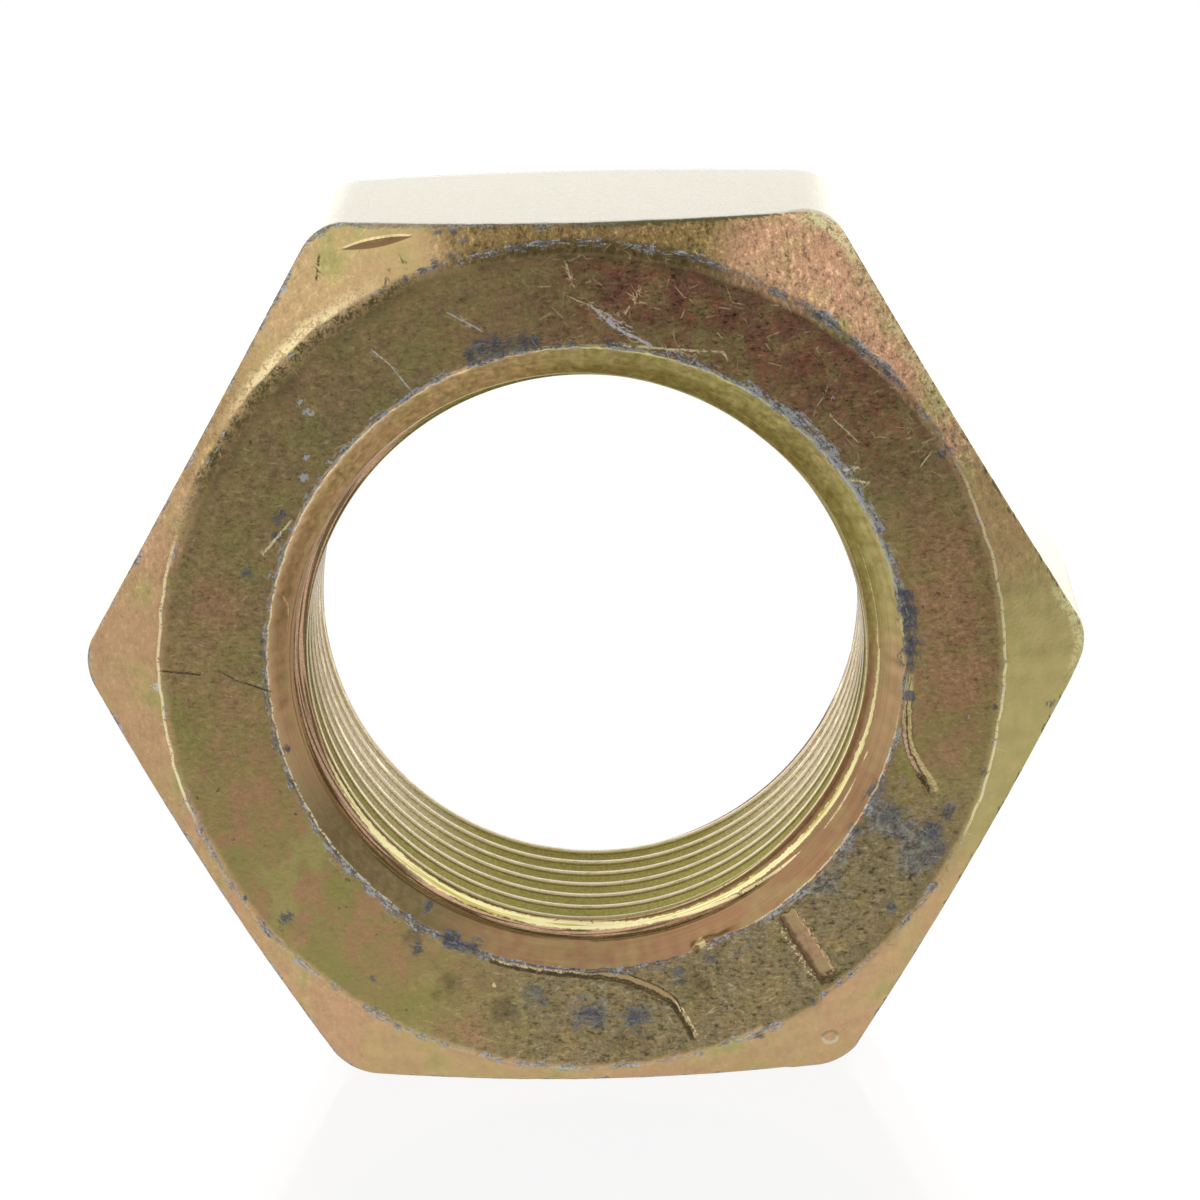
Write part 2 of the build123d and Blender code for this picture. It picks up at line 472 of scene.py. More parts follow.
def hair_scratches():
    """Short random scratches on the front, about 0.75 mm apart, strongest at the upper right and below."""
    draw = np.random.default_rng(71)
    found = []
    for radius in np.arange(17.5, 26.0, 0.74):
        count = int(2 * pi * radius / 0.78)
        angle = 2 * pi * (np.arange(count) + draw.uniform(-0.25, 0.25, count)) / count - pi
        distance = radius + draw.uniform(-0.2, 0.2, count)
        x, z = distance * np.cos(angle), distance * np.sin(angle)
        reddish, golden, greyed = front_tints(x[None], z[None], np.array(["face"]))[0].T
        force = 0.26 + 0.36 * reddish + 0.14 * greyed - 0.15 * golden
        on_chamfer = distance > 22.9
        chamfer_force = 0.08 + 0.50 * window(angle, 22, 66, 16) + 0.30 * window(angle, 112, 150, 16)
        force = np.where(on_chamfer, chamfer_force, force)
        kept = (draw.uniform(size=count) < 0.85) & (distance < hexagon_radius(angle) - 0.35)
        kept = kept & (force > 0.12)
        turn = draw.normal(0, 0.45 + 0.5 * reddish, count)
        half_length = 0.08 + 0.26 * draw.uniform(size=count)**2.5
        half_width = draw.uniform(0.022, 0.045, count)
        tone = np.where(draw.uniform(size=count) < 0.62 - 0.2 * reddish + 0.2 * greyed, -1.0, 0.0)
        strength = force * draw.uniform(0.35, 1.0, count)
        for i in np.flatnonzero(kept):
            step = half_length[i] * np.array([cos(turn[i]), sin(turn[i])])
            middle = np.array([x[i], z[i]])
            found.append(([middle - step, middle + step], half_width[i], strength[i], tone[i]))
    return found


def beside_scratches(x, z, columns):
    """For each point: offset beside the nearest scratch over its half width, its tone and its strength."""
    nearest = np.full(x.shape, 1.0)
    place = np.zeros(x.shape + (3,))
    place[..., 0] = 9
    for points, half, strength, tone in SCRATCHES + hair_scratches():
        for start, end in zip(points, points[1:]):
            start, end = np.array(start), np.array(end)
            middle, length = (start + end) / 2, np.linalg.norm(end - start)
            step = (end - start) / length
            turn = np.abs((columns - np.arctan2(middle[1], middle[0]) + pi) % (2 * pi) - pi)
            near = np.flatnonzero(turn < (length / 2 + 1.0) / np.hypot(*middle))
            offset_x, offset_z = x[:, near] - start[0], z[:, near] - start[1]
            ahead = offset_x * step[0] + offset_z * step[1]
            aside = offset_z * step[0] - offset_x * step[1]
            past = np.maximum(np.maximum(-ahead, ahead - length), 0)
            distance = np.hypot(aside, past)
            shows = strength * (1 - smooth(0.0, 0.12, past)) * (1 - smooth(0.16, 0.36, np.abs(aside)))
            found = np.stack([aside / half, tone + 0 * aside, shows], -1)
            block, closest = place[:, near], nearest[:, near]
            nearer = distance < closest
            place[:, near] = np.where(nearer[..., None], found, block)
            nearest[:, near] = np.where(nearer, distance, closest)
    return place


def face_marks(x, z):
    """Depths of what is struck or gouged into the front face: all of it, and its clean floors alone."""
    points = np.stack([x, z], -1)
    bar = bar_cut(points)
    low_gouge, place = trench(points, LOWER_GOUGE, gouge_width, 0.18, 0.03, 0.02)
    low_gouge = low_gouge * smooth(0.0, 0.25, place)
    low_floor = low_gouge * smooth(0.36, 0.44, place) * (1 - smooth(0.80, 0.86, place))
    right_gouge, place = trench(points, RIGHT_GOUGE, 0.15, 0.12, 0.034)
    right_gouge = right_gouge * smooth(0.0, 0.25, place)
    pits = 0
    for pit_x, pit_z, reach, deep in PITS:
        pits = pits + deep * np.exp(-((x - pit_x)**2 + (z - pit_z)**2) / reach**2)
    waves = 0.006 * ripple(points, 3.2, 31) + 0.003 * ripple(points, 1.1, 32)
    return bar + low_gouge + right_gouge + pits + waves, np.maximum(bar, low_floor)


def chamfer_marks(x, z):
    """Depth of the slit and of the ring-shaped dent on the front chamfer."""
    points = np.stack([x, z], -1)
    slit, place = trench(points, CHAMFER_SLIT, 0.16, 0.15, 0.03)
    ring = np.hypot(x - RING_DENT[0], z - RING_DENT[1])
    dent = 0.09 * np.exp(-((ring - RING_RADIUS) / 0.15)**2)
    return slit * np.sin(np.clip(place, 0, 1) * pi) + dent


def to_points(radius, y, angle):
    """Radius, place along the axis and angle as points in millimetres."""
    return np.stack([radius * np.cos(angle), y + 0 * radius, radius * np.sin(angle)], -1)


def row_places(radius, names, angle, front, depth):
    """For each point: distance past the mouth's rim, past the outer rim, and inside the hexagon's edge."""
    mouth = mouth_radius(angle, front) - mouth_bump(angle, front)
    bearing, hexagon = bearing_radius(angle, front), hexagon_radius(angle)
    past_mouth = np.where(radius < mouth, (radius - mouth) * sqrt(2), radius - mouth)
    past_rim = np.where(radius > bearing, (radius - bearing) / cos(CHAMFER), radius - bearing)
    level = BURR_ROOM if front else BACK_ROOM
    corner_depth = level + (hexagon - bearing) * tan(CHAMFER)
    inside_edge = np.where((names == "edge")[:, None] & (radius > hexagon - 0.03),
                           corner_depth - depth, (hexagon - radius) / cos(CHAMFER))
    return np.stack([past_mouth, past_rim, inside_edge], -1)


def row_zones(names, shape):
    """Shares of bearing face, countersink and thread at each point of a face section."""
    face = (names == "face") * 1.0
    cone = np.isin(names, ["cone", "mouth"]) * 1.0
    zones = np.stack([face, cone, 0 * face], -1)
    return np.broadcast_to(zones[:, None, :], shape + (3,))


def front_wear(angle):
    """How hard each rim of the front is worn to the grey metal, by angle: the mouth's and the outer one."""
    mouth = 0.16 + arcs(angle, (0.24, 97, 109, 4), (0.16, 109, 130, 8), (0.18, 60, 96, 8),
                        (0.58, 34, 60, 12), (0.4, 6, 36, 8), (0.1, -60, -12, 10), (0.16, -100, -76, 8),
                        (0.36, -150, -106, 10), (0.14, -172, -150, 8), (0.22, 172, 187, 4),
                        (0.1, 130, 172, 8))
    outer = 0.05 + arcs(angle, (0.2, 96, 117, 6), (0.18, 66, 98, 8), (0.44, 40, 62, 8), (0.14, 24, 40, 8),
                        (0.08, -24, 20, 8), (0.27, -165, -62, 8), (0.16, -60, -28, 6))
    return mouth, outer


def front_shine(angle):
    """By angle: how pale the bare zinc is on the mouth and outer rim, and how creamy the hexagon's edge."""
    mouth = arcs(angle, (1.0, 12, 62, 14), (0.6, 110, 180, 14), (0.5, -152, -128, 8), (0.6, -60, -12, 10))
    outer = arcs(angle, (0.25, -160, -62, 10), (0.3, 100, 118, 8))
    corner = arcs(angle, (1.0, 56, 63, 4), (0.45, 28, 57, 8), (0.7, -3, 7, 5))
    return np.stack([mouth, outer, corner], -1)


def front_lines(angle):
    """Strengths by angle of the fine lines on the front's rims and edges, as two triples.

    A bright line on the mouth's rim and one on the outer rim, partly worn pale film and partly painted
    highlight, and a band of painted shade on the face inside that; then a dark line on the hexagon's edge, a
    painted cream highlight on the chamfer beside the rim and the edge's own grey wear.
    """
    mouth_highlight_line = arcs(angle, (0.9, 128, 215, 10), (0.5, -60, -12, 10), (0.6, -152, -128, 6),
                      (0.35, 60, 96, 8))
    rim_highlight_line = arcs(angle, (1.0, 163, 200, 8), (0.85, -26, 26, 8), (0.15, -165, -62, 8))
    rim_shade_band = arcs(angle, (1.0, 112, 156, 12), (0.3, 24, 64, 10), (0.8, 70, 100, 10),
                     (0.3, -60, -24, 10))
    dark_edge = arcs(angle, (0.9, -38, 86, 10), (0.5, 86, 116, 6))
    rim_highlight_band = arcs(angle, (1.0, 120, 140, 14))
    worn_edge = 0.12 + arcs(angle, (0.24, 108, 132, 10), (0.14, 66, 108, 8), (0.05, 132, 240, 10))
    return (np.stack([mouth_highlight_line, rim_highlight_line, rim_shade_band], -1),
            np.stack([dark_edge, rim_highlight_band, worn_edge], -1))


def front_tints(x, z, names):
    """Three shares of film by place: reddish, golden and greyed on the face, and other three beside it.

    On the chamfer they are pink, olive and brown, and on the countersink olive, dark and copper.
    """
    angle = np.arctan2(z, x)
    radius = np.hypot(x, z)
    reddish = window(angle, 36, 94, 26) * (0.60 + 0.40 * smooth(18.0, 20.0, radius))
    reddish = reddish + 0.24 * window(angle, -12, 40, 10) * smooth(17.8, 19.0, radius)
    golden = arcs(angle, (1.0, -168, -112, 34), (0.25, 150, 178, 26), (0.8, -30, 22, 20))
    greyed = window(angle, -104, -22, 30) + 0.2 * window(angle, 120, 178, 20)
    face = np.stack([reddish, golden, greyed], -1)
    by_edge = 1 - smooth(0.5, 1.2, hexagon_radius(angle) - radius)
    pink = arcs(angle, (1.0, 24, 72, 10), (0.35, 118, 162, 14), (0.55, 162, 240, 14),
                (0.25, -100, -40, 20))
    olive = arcs(angle, (0.9, -30, 10, 12), (0.2, 112, 150, 20))
    brown = arcs(angle, (1.0, 70, 107, 8), (0.30, 8, 24, 10), (0.16, 160, 215, 20), (0.42, 134, 154, 10))
    brown = brown + 0.30 * window(angle, 20, 56, 10) * by_edge
    chamfer = np.stack([pink, olive, brown], -1)
    olive = arcs(angle, (1.0, 5, 96, 26), (0.15, 96, 130, 20))
    dark = arcs(angle, (0.9, -155, -114, 22))
    cone = np.stack([olive, dark, window(angle, -122, -16, 30)], -1)
    on_cone = np.isin(names, ["cone", "mouth"])[:, None, None]
    on_chamfer = np.isin(names, ["rim", "chamfer", "edge"])[:, None, None]
    return np.clip(np.where(on_cone, cone, np.where(on_chamfer, chamfer, face)), 0, 1)


def build_nut():
    """The nut as one closed skin, made of rows that run once round its section.

    Front countersink, front face, chamfer, flats, back chamfer, back face, back countersink, then the
    thread from the back to the front. Gives points, faces and the values that the finish reads.
    """
    fine = column_angles()
    coarse = fine[::COARSE]
    points = []
    values = {name: [] for name in VALUES}
    elsewhere = {"edges": (0.3, 0, 0.13), "grooves": (1, 0, 0), "right_gouge": (2, 0, 0),
                 "low_gouge": (2, 0, 0), "scratches": (9, 0, 0)}

    def keep(grid, **given):
        start = sum(len(p) for p in points)
        points.append(grid.reshape(-1, 3))
        drifts = [clouds(grid, length, seed) for length, seed in ((4.4, 51), (2.4, 61), (1.5, 81))]
        given["clouds"] = np.stack(drifts, -1)
        for name, stored in values.items():
            value = given[name] if name in given else elsewhere.get(name, (0, 0, 0))
            stored.append(np.broadcast_to(value, grid.shape).reshape(-1, 3))
        return start + np.arange(grid.shape[0] * grid.shape[1]).reshape(grid.shape[:2])

    # Front half of the section
    radius, depth, names = face_section(fine, True)
    x, z = radius * np.cos(fine), radius * np.sin(fine)
    is_face = (names == "face")[:, None]
    is_chamfer = (names == "chamfer")[:, None]
    place = row_places(radius, names, fine, True, depth)
    all_marks, clean_floor = face_marks(x, z)
    on_face = is_face * smooth(0.05, 0.3, place[..., 0]) * smooth(0.0, 0.12, -place[..., 1] - 0.1)
    on_chamfer = is_chamfer * smooth(0.1, 0.3, place[..., 1]) * smooth(0.1, 0.3, place[..., 2])
    sink = all_marks * on_face + chamfer_marks(x, z) * on_chamfer
    y = FRONT + np.maximum(depth + sink, 0.001)
    worn_mouth, worn_rim = front_wear(fine)
    cut = np.clip(clean_floor / 0.18, 0, 1) * on_face
    mark = np.stack([worn_mouth + 0 * x, worn_rim + 0 * x, cut], -1)
    rim_lines, edge_lines = front_lines(fine)
    front_rows = keep(to_points(radius, y, fine), places=place, zones=row_zones(names, radius.shape),
                      marks=mark, tints=front_tints(x, z, names), lines=rim_lines[None],
                      edges=edge_lines[None], spots=spots(x, z), patches=patches(x, z),
                      scratches=beside_scratches(x, z, fine), right_gouge=beside(x, z, RIGHT_GOUGE),
                      low_gouge=beside(x, z, LOWER_GOUGE), shine=front_shine(fine)[None])

    # Back half of the section, turned round so that its rows run from the flat to the bore
    radius, depth, names = face_section(coarse, False)
    x, z = radius * np.cos(coarse), radius * np.sin(coarse)
    place = row_places(radius, names, coarse, False, depth)
    y = BACK - np.maximum(depth, 0.001)
    mark = np.stack([0.5 + 0 * x, 0.4 + 0 * x, 0 * x], -1)
    back_tint = np.stack([0.3 + 0.3 * np.sin(np.arctan2(z, x)), 0.5 + 0 * x, 0.3 + 0 * x], -1)
    back = to_points(radius, y, coarse)
    back_rows = keep(back, places=place, zones=row_zones(names, radius.shape), marks=mark,
                     tints=back_tint)[::-1]

    # Flats, straight between the two edges
    start, end = points[0][front_rows[-1][::COARSE]], back[-1]
    shares = np.array([0.03, 0.1, 0.26, 0.5, 0.74, 0.9, 0.97])[:, None, None]
    flats = start[None] * (1 - shares) + end[None] * shares
    along_flat = np.minimum(shares, 1 - shares)[..., 0] * np.abs(end[:, 1] - start[:, 1])[None]
    place = np.stack([10 + 0 * along_flat, 5 + 0 * along_flat, -0.15 - along_flat], -1)
    _, edge_lines = front_lines(coarse)
    edge_lines = np.where(shares < 0.5, edge_lines[None], (0.3, 0, 0.13))
    flat_rows = keep(flats, places=place, zones=(0, 0, 0), marks=(0.5, 0.4, 0), tints=(0.2, 0.4, 0.2),
                     edges=edge_lines)

    # Thread
    radius, depth, ramp, past_groove, crest_bands, turn_rows = thread_rows(coarse)
    place = np.stack([-2 + 0 * ramp, -10 + 0 * ramp, 10 + 0 * ramp], -1)
    on_cone = smooth(-0.02, 0.02, past_groove)
    zone = np.stack([0 * ramp, on_cone, 1 - on_cone], -1)
    mark = np.stack([0.5 + 0 * ramp, 0 * ramp, 0 * ramp], -1)
    tint = front_tints(np.cos(coarse)[None], np.sin(coarse)[None], np.array(["cone"]))
    tint = tint + 0 * ramp[..., None]
    # Share of the bore, deep in and away from its bottom, where the finish paints the grooves pale as
    # painted light
    deep_bore_light_share = (1 - window(coarse, -134, -46, 50)) * smooth(3, 12, depth)
    groove = np.stack([past_groove, deep_bore_light_share, ramp], -1)
    bore = to_points(radius, FRONT + depth, coarse)
    bore_rows = keep(bore, places=place, zones=zone, marks=mark, tints=tint, bands=crest_bands,
                     grooves=groove)
    foot_radius = MOUTH_RADIUS - CONE_FOOT + 0 * coarse[None]
    foot_values = {"places": (-2, -10, 10), "zones": (0, 1, 0), "marks": (0.5, 0, 0), "tints": tint[:1],
                   "grooves": (0.05, 0, 1)}
    front_foot = keep(to_points(foot_radius, FRONT + CONE_FOOT, coarse), **foot_values)
    back_foot = keep(to_points(foot_radius, BACK - CONE_FOOT, coarse), **foot_values)
    bore_rows = np.where(depth <= CONE_FOOT, front_foot, bore_rows)
    bore_rows = np.where(depth >= THICKNESS - CONE_FOOT, back_foot, bore_rows)
    # Past the last column a row goes on as the one a whole turn nearer the front
    shifted = np.clip(np.arange(len(bore_rows)) - turn_rows, 0, len(bore_rows) - 1)
    bore_rows = np.concatenate([bore_rows, bore_rows[shifted, :1]], axis=1)

    def band(rows):
        """Four-sided faces between each row and the next, closed round the axis."""
        a, b = rows[:-1], rows[1:]
        return np.stack([a, b, np.roll(b, -1, 1), np.roll(a, -1, 1)], -1).reshape(-1, 4).tolist()

    faces = band(front_rows)
    fine_row, coarse_row = front_rows[-1].reshape(-1, COARSE), flat_rows[0]
    faces += np.column_stack([coarse_row, np.roll(coarse_row, -1), np.roll(fine_row[:, 0], -1),
                              fine_row[:, ::-1]]).tolist()
    faces += band(np.concatenate([flat_rows, back_rows, back_foot]))
    a, b = bore_rows[1:], bore_rows[:-1]
    quads = np.stack([a[:, :-1], b[:, :-1], b[:, 1:], a[:, 1:]], -1).reshape(-1, 4)
    left, right = quads[:, 0] == quads[:, 1], quads[:, 2] == quads[:, 3]
    faces += quads[~left & ~right].tolist()
    faces += quads[left & ~right][:, 1:].tolist()
    faces += quads[right & ~left][:, :3].tolist()
    fine_row = front_rows[0].reshape(-1, COARSE)
    faces += np.column_stack([front_foot[0], fine_row, np.roll(fine_row[:, 0], -1),
                              np.roll(front_foot[0], -1)]).tolist()

    values = {name: np.concatenate(stored) for name, stored in values.items()}
    return np.concatenate(points), faces, values


def placed(name, data):
    """A new object in the scene that holds that mesh, light or camera."""
    made = bpy.data.objects.new(name, data)
    bpy.context.scene.collection.objects.link(made)
    return made


def mesh_object(name, points, faces, values):
    """A mesh object in metres from points in millimetres, with named values at its points."""
    used = np.unique(np.concatenate([np.array(f) for f in faces]))
    renumber = np.full(len(points), -1)
    renumber[used] = np.arange(len(used))
    mesh = bpy.data.meshes.new(name)
    mesh.from_pydata((points[used] * MM).tolist(), [], [renumber[f].tolist() for f in faces])
    for key, stored in values.items():
        layer = mesh.attributes.new(key, "FLOAT_VECTOR", "POINT")
        layer.data.foreach_set("vector", stored[used].astype(np.float32).ravel())
    mesh.shade_smooth()
    mesh.update()
    return placed(name, mesh)


class Wire:
    """A value inside a shader: arithmetic on it adds a math node and gives that node's value."""

    def __init__(self, wiring, socket):
        self.wiring = wiring
        self.socket = socket

    def __add__(self, other):
        return self.wiring.math("ADD", self, other)

    def __mul__(self, other):
        return self.wiring.math("MULTIPLY", self, other)

    def __sub__(self, other):
        return self.wiring.math("SUBTRACT", self, other)

    def __rsub__(self, other):
        return self.wiring.math("SUBTRACT", other, self)

    def __abs__(self):
        return self.wiring.math("ABSOLUTE", self)

    __radd__ = __add__
    __rmul__ = __mul__


class Wiring:
    """Adds nodes to the emptied shader tree of a material or world and gives their values."""

    def __init__(self, owner):
        owner.use_nodes = True
        self.tree = owner.node_tree
        self.tree.nodes.clear()

    def node(self, kind, **settings):
        made = self.tree.nodes.new(kind)
        for name, value in settings.items():
            setattr(made, name, value)
        return made

    def wire(self, socket, value):
        if isinstance(value, Wire):
            self.tree.links.new(value.socket, socket)
        else:
            socket.default_value = value

    def wired(self, node, values, output=0):
        """Wires values to a node's first inputs and gives the value of one output."""
        for socket, value in zip(node.inputs, values):
            self.wire(socket, value)
        return Wire(self, node.outputs[output])

    def math(self, operation, *values):
        return self.wired(self.node("ShaderNodeMath", operation=operation), values)

    def larger(self, a, b):
        return self.math("MAXIMUM", a, b)

    def vector(self, operation, *values, scale=None):
        made = self.node("ShaderNodeVectorMath", operation=operation)
        if scale is not None:
            made.inputs["Scale"].default_value = scale
        gives_number = operation in ("LENGTH", "DOT_PRODUCT", "DISTANCE")
        return self.wired(made, values, "Value" if gives_number else "Vector")

    def split(self, vector):
        made = self.node("ShaderNodeSeparateXYZ")
        self.wire(made.inputs[0], vector)
        return tuple(Wire(self, socket) for socket in made.outputs)

    def join(self, x, y, z):
        return self.wired(self.node("ShaderNodeCombineXYZ"), (x, y, z))

    def value(self, name):
        return Wire(self, self.node("ShaderNodeAttribute", attribute_name=name).outputs["Vector"])

    def coordinates(self, name):
        return Wire(self, self.node("ShaderNodeTexCoord").outputs[name])

    def noise(self, vector, scale, detail=2.0, roughness=0.5):
        made = self.node("ShaderNodeTexNoise")
        self.wire(made.inputs["Vector"], vector)
        for name, number in (("Scale", scale), ("Detail", detail), ("Roughness", roughness)):
            made.inputs[name].default_value = number
        return Wire(self, made.outputs["Fac"])

    def rays(self):
        """1 for a ray from the camera, and 1 for a ray that was mirrored or went through something."""
        path = self.node("ShaderNodeLightPath")
        camera, glossy, through = (
            Wire(self, path.outputs[f"Is {kind} Ray"]) for kind in ("Camera", "Glossy", "Transmission")
        )
        return camera, self.larger(glossy, through)

    def boat(self, x, z, start, end, half):
        """Mask of a slit widest halfway along: within half * (1 - u^2) of its line, u from -1 to 1."""
        (ax, az), (bx, bz) = start, end
        length = sqrt((bx - ax)**2 + (bz - az)**2)
        offset = self.vector("SUBTRACT", self.join(x, 0.0, z), ((ax + bx) / 2, 0.0, (az + bz) / 2))
        share = self.vector("DOT_PRODUCT", offset,
                            ((bx - ax) * 2 / length**2, 0.0, (bz - az) * 2 / length**2))
        aside = self.vector("DOT_PRODUCT", offset, (-(bz - az) / length, 0.0, (bx - ax) / length))
        return self.step((1.0 - share * share) * half - abs(aside), 0.0, 0.04)

    def between(self, value, low, high, ease):
        """1 where a value lies between low and high, eased to 0 outside; high may be a Wire."""
        if isinstance(high, Wire):
            return self.step(value - high, ease, 0.0) * self.step(value, low - ease, low)
        return self.step(abs(value - (low + high) / 2), (high - low) / 2 + ease, (high - low) / 2)

    def step(self, value, start, end, low=0.0, high=1.0):
        """Eased step from low at start to high at end; start may be the larger."""
        if start > end:
            start, end, low, high = end, start, high, low
        made = self.node("ShaderNodeMapRange", interpolation_type="SMOOTHSTEP")
        return self.wired(made, (value, start, end, low, high))

    def mix(self, share, a, b, blend="MIX"):
        """Colour a, or b where the share is 1; each is a Wire or three numbers."""
        made = self.node("ShaderNodeMix", data_type="RGBA", blend_type=blend)
        self.wire(made.inputs["Factor"], share)
        for socket, colour in zip([socket for socket in made.inputs if socket.type == "RGBA"], (a, b)):
            self.wire(socket, colour + (1.0,) if isinstance(colour, tuple) else colour)
        return Wire(self, next(socket for socket in made.outputs if socket.type == "RGBA"))

    def mix_shaders(self, share, a, b):
        """Node that shows shader node a, or b where the share is 1."""
        made = self.node("ShaderNodeMixShader")
        self.wire(made.inputs[0], share)
        for socket, shader in zip(made.inputs[1:], (a, b)):
            self.tree.links.new(shader.outputs[0], socket)
        return made

    def surface(self, kind, shader):
        """Sends a shader node to an output node of that kind."""
        self.tree.links.new(shader.outputs[0], self.node(kind).inputs["Surface"])


# Colours of the plating, as linear light: the yellow film in its shades, and the zinc and steel under it.
# Some are painted light and shade: the cream highlight, the dark rim band, the pale film (partly highlight),
# and the films painted paler on the cone's upper part, on the top flats and deep in the bore
GOLD_FILM = (0.52, 0.385, 0.175)
PINK_FILM = (0.56, 0.325, 0.195)
OLIVE_FILM = (0.42, 0.365, 0.145)
GREEN_FILM = (0.36, 0.36, 0.12)
BROWN_FILM = (0.23, 0.155, 0.062)
CREAM_PAINTED_HIGHLIGHT = (0.95, 0.80, 0.46)
FACE_BROWN = (0.36, 0.25, 0.113)
FACE_OLIVE = (0.30, 0.25, 0.10)
FACE_VIOLET = (0.31, 0.20, 0.115)
FACE_GOLD = (0.335, 0.255, 0.103)
FACE_GREEN = (0.285, 0.265, 0.085)
FACE_ROSE = (0.40, 0.235, 0.125)
FACE_RED = (0.22, 0.115, 0.07)
FACE_GREY = (0.25, 0.20, 0.108)
VEIL_LIGHT = (0.25, 0.24, 0.215)
VEIL_DARK = (0.11, 0.112, 0.118)
COPPER_FILM = (0.53, 0.335, 0.185)
TOP_COPPER_PAINTED_LIGHT = (0.95, 0.64, 0.37)
COPPER_SHADE = (0.345, 0.195, 0.102)
TOP_FLAT_PAINTED_LIGHT = (0.62, 0.60, 0.50)
LOW_FLAT_FILM = (0.60, 0.49, 0.29)
OLIVE_WITH_PAINTED_LIGHT = (0.68, 0.62, 0.245)
CREST_FILM = (0.48, 0.39, 0.24)
GROOVE_FILM = (0.30, 0.26, 0.075)
DEEP_BORE_PAINTED_LIGHT = (0.86, 0.75, 0.51)
PALE_FILM_AND_HIGHLIGHT = (0.90, 0.78, 0.46)
CLEAN_FLOOR = (0.35, 0.225, 0.125)
LIGHT_ZINC = (0.42, 0.43, 0.44)
MIDDLE_ZINC = (0.20, 0.20, 0.203)
SLATE_ZINC = (0.088, 0.090, 0.100)
DARK_PIT = (0.055, 0.052, 0.048)
RIM_PAINTED_SHADE = (0.10, 0.085, 0.035)
DARK_OLIVE = (0.13, 0.11, 0.055)

# Colours of single marks: thread, worn places, gouges, the grade bar, scratches, slit and ring. Painted
# light and
# shade among them: the thread's root shade and flank highlight, the shade at the foot of cut floors, the
# bar's wall shadow and edge highlight, and the ring's lit and shaded sides
DEEP_RED = (0.30, 0.09, 0.06)
CONE_BROWN = (0.40, 0.31, 0.08)
CONE_DARK = (0.15, 0.12, 0.05)
ROOT_PAINTED_SHADE = (0.12, 0.10, 0.03)
START_BROWN = (0.16, 0.11, 0.055)
START_COPPER = (0.62, 0.39, 0.25)
INNER_CREST = (0.36, 0.26, 0.17)
FLANK_HIGHLIGHT_GOLD = (0.62, 0.52, 0.14)
FLANK_HIGHLIGHT_YELLOW = (1.0, 0.92, 0.48)
EDGE_SHADE = (0.09, 0.09, 0.04)
CORNER_CREAM = (0.72, 0.68, 0.37)
WHITE_ZINC = (0.50, 0.52, 0.56)
GOLDEN_FLECK = (0.75, 0.60, 0.30)
STRUCK_BROWN = (0.26, 0.20, 0.085)
STRUCK_GOLD = (0.66, 0.55, 0.27)
GOUGE_WALL = (0.24, 0.175, 0.08)
GOUGE_FLOOR = (0.13, 0.085, 0.04)
RIGHT_RIDGE = (0.58, 0.46, 0.22)
LEFT_RIDGE = (0.60, 0.48, 0.22)
PINK_RIDGE = (0.74, 0.50, 0.34)
TORN_HOLE = (0.07, 0.05, 0.03)
GOUGE_SHADOW = (0.075, 0.06, 0.03)
GOUGE_GOLD = (0.80, 0.62, 0.34)
FLOOR_GOLD = (0.42, 0.32, 0.155)
FOOT_PAINTED_SHADE = (0.12, 0.085, 0.04)
BAR_WALL_PAINTED_SHADOW = (0.15, 0.09, 0.05)
BAR_EDGE_PAINTED_HIGHLIGHT = (0.70, 0.52, 0.30)
BURR_CRUMB = (0.66, 0.50, 0.30)
BAR_FOOT = (0.10, 0.065, 0.035)
DARK_SCRATCH = (0.07, 0.055, 0.03)
WHITE_SCRATCH = (0.74, 0.75, 0.78)
SLIT_FLOOR = (0.22, 0.135, 0.065)
MOUTH_LIP = (0.85, 0.62, 0.42)
RING_PAINTED_HIGHLIGHT = (0.62, 0.60, 0.45)
RING_PAINTED_SHADE = (0.24, 0.21, 0.12)


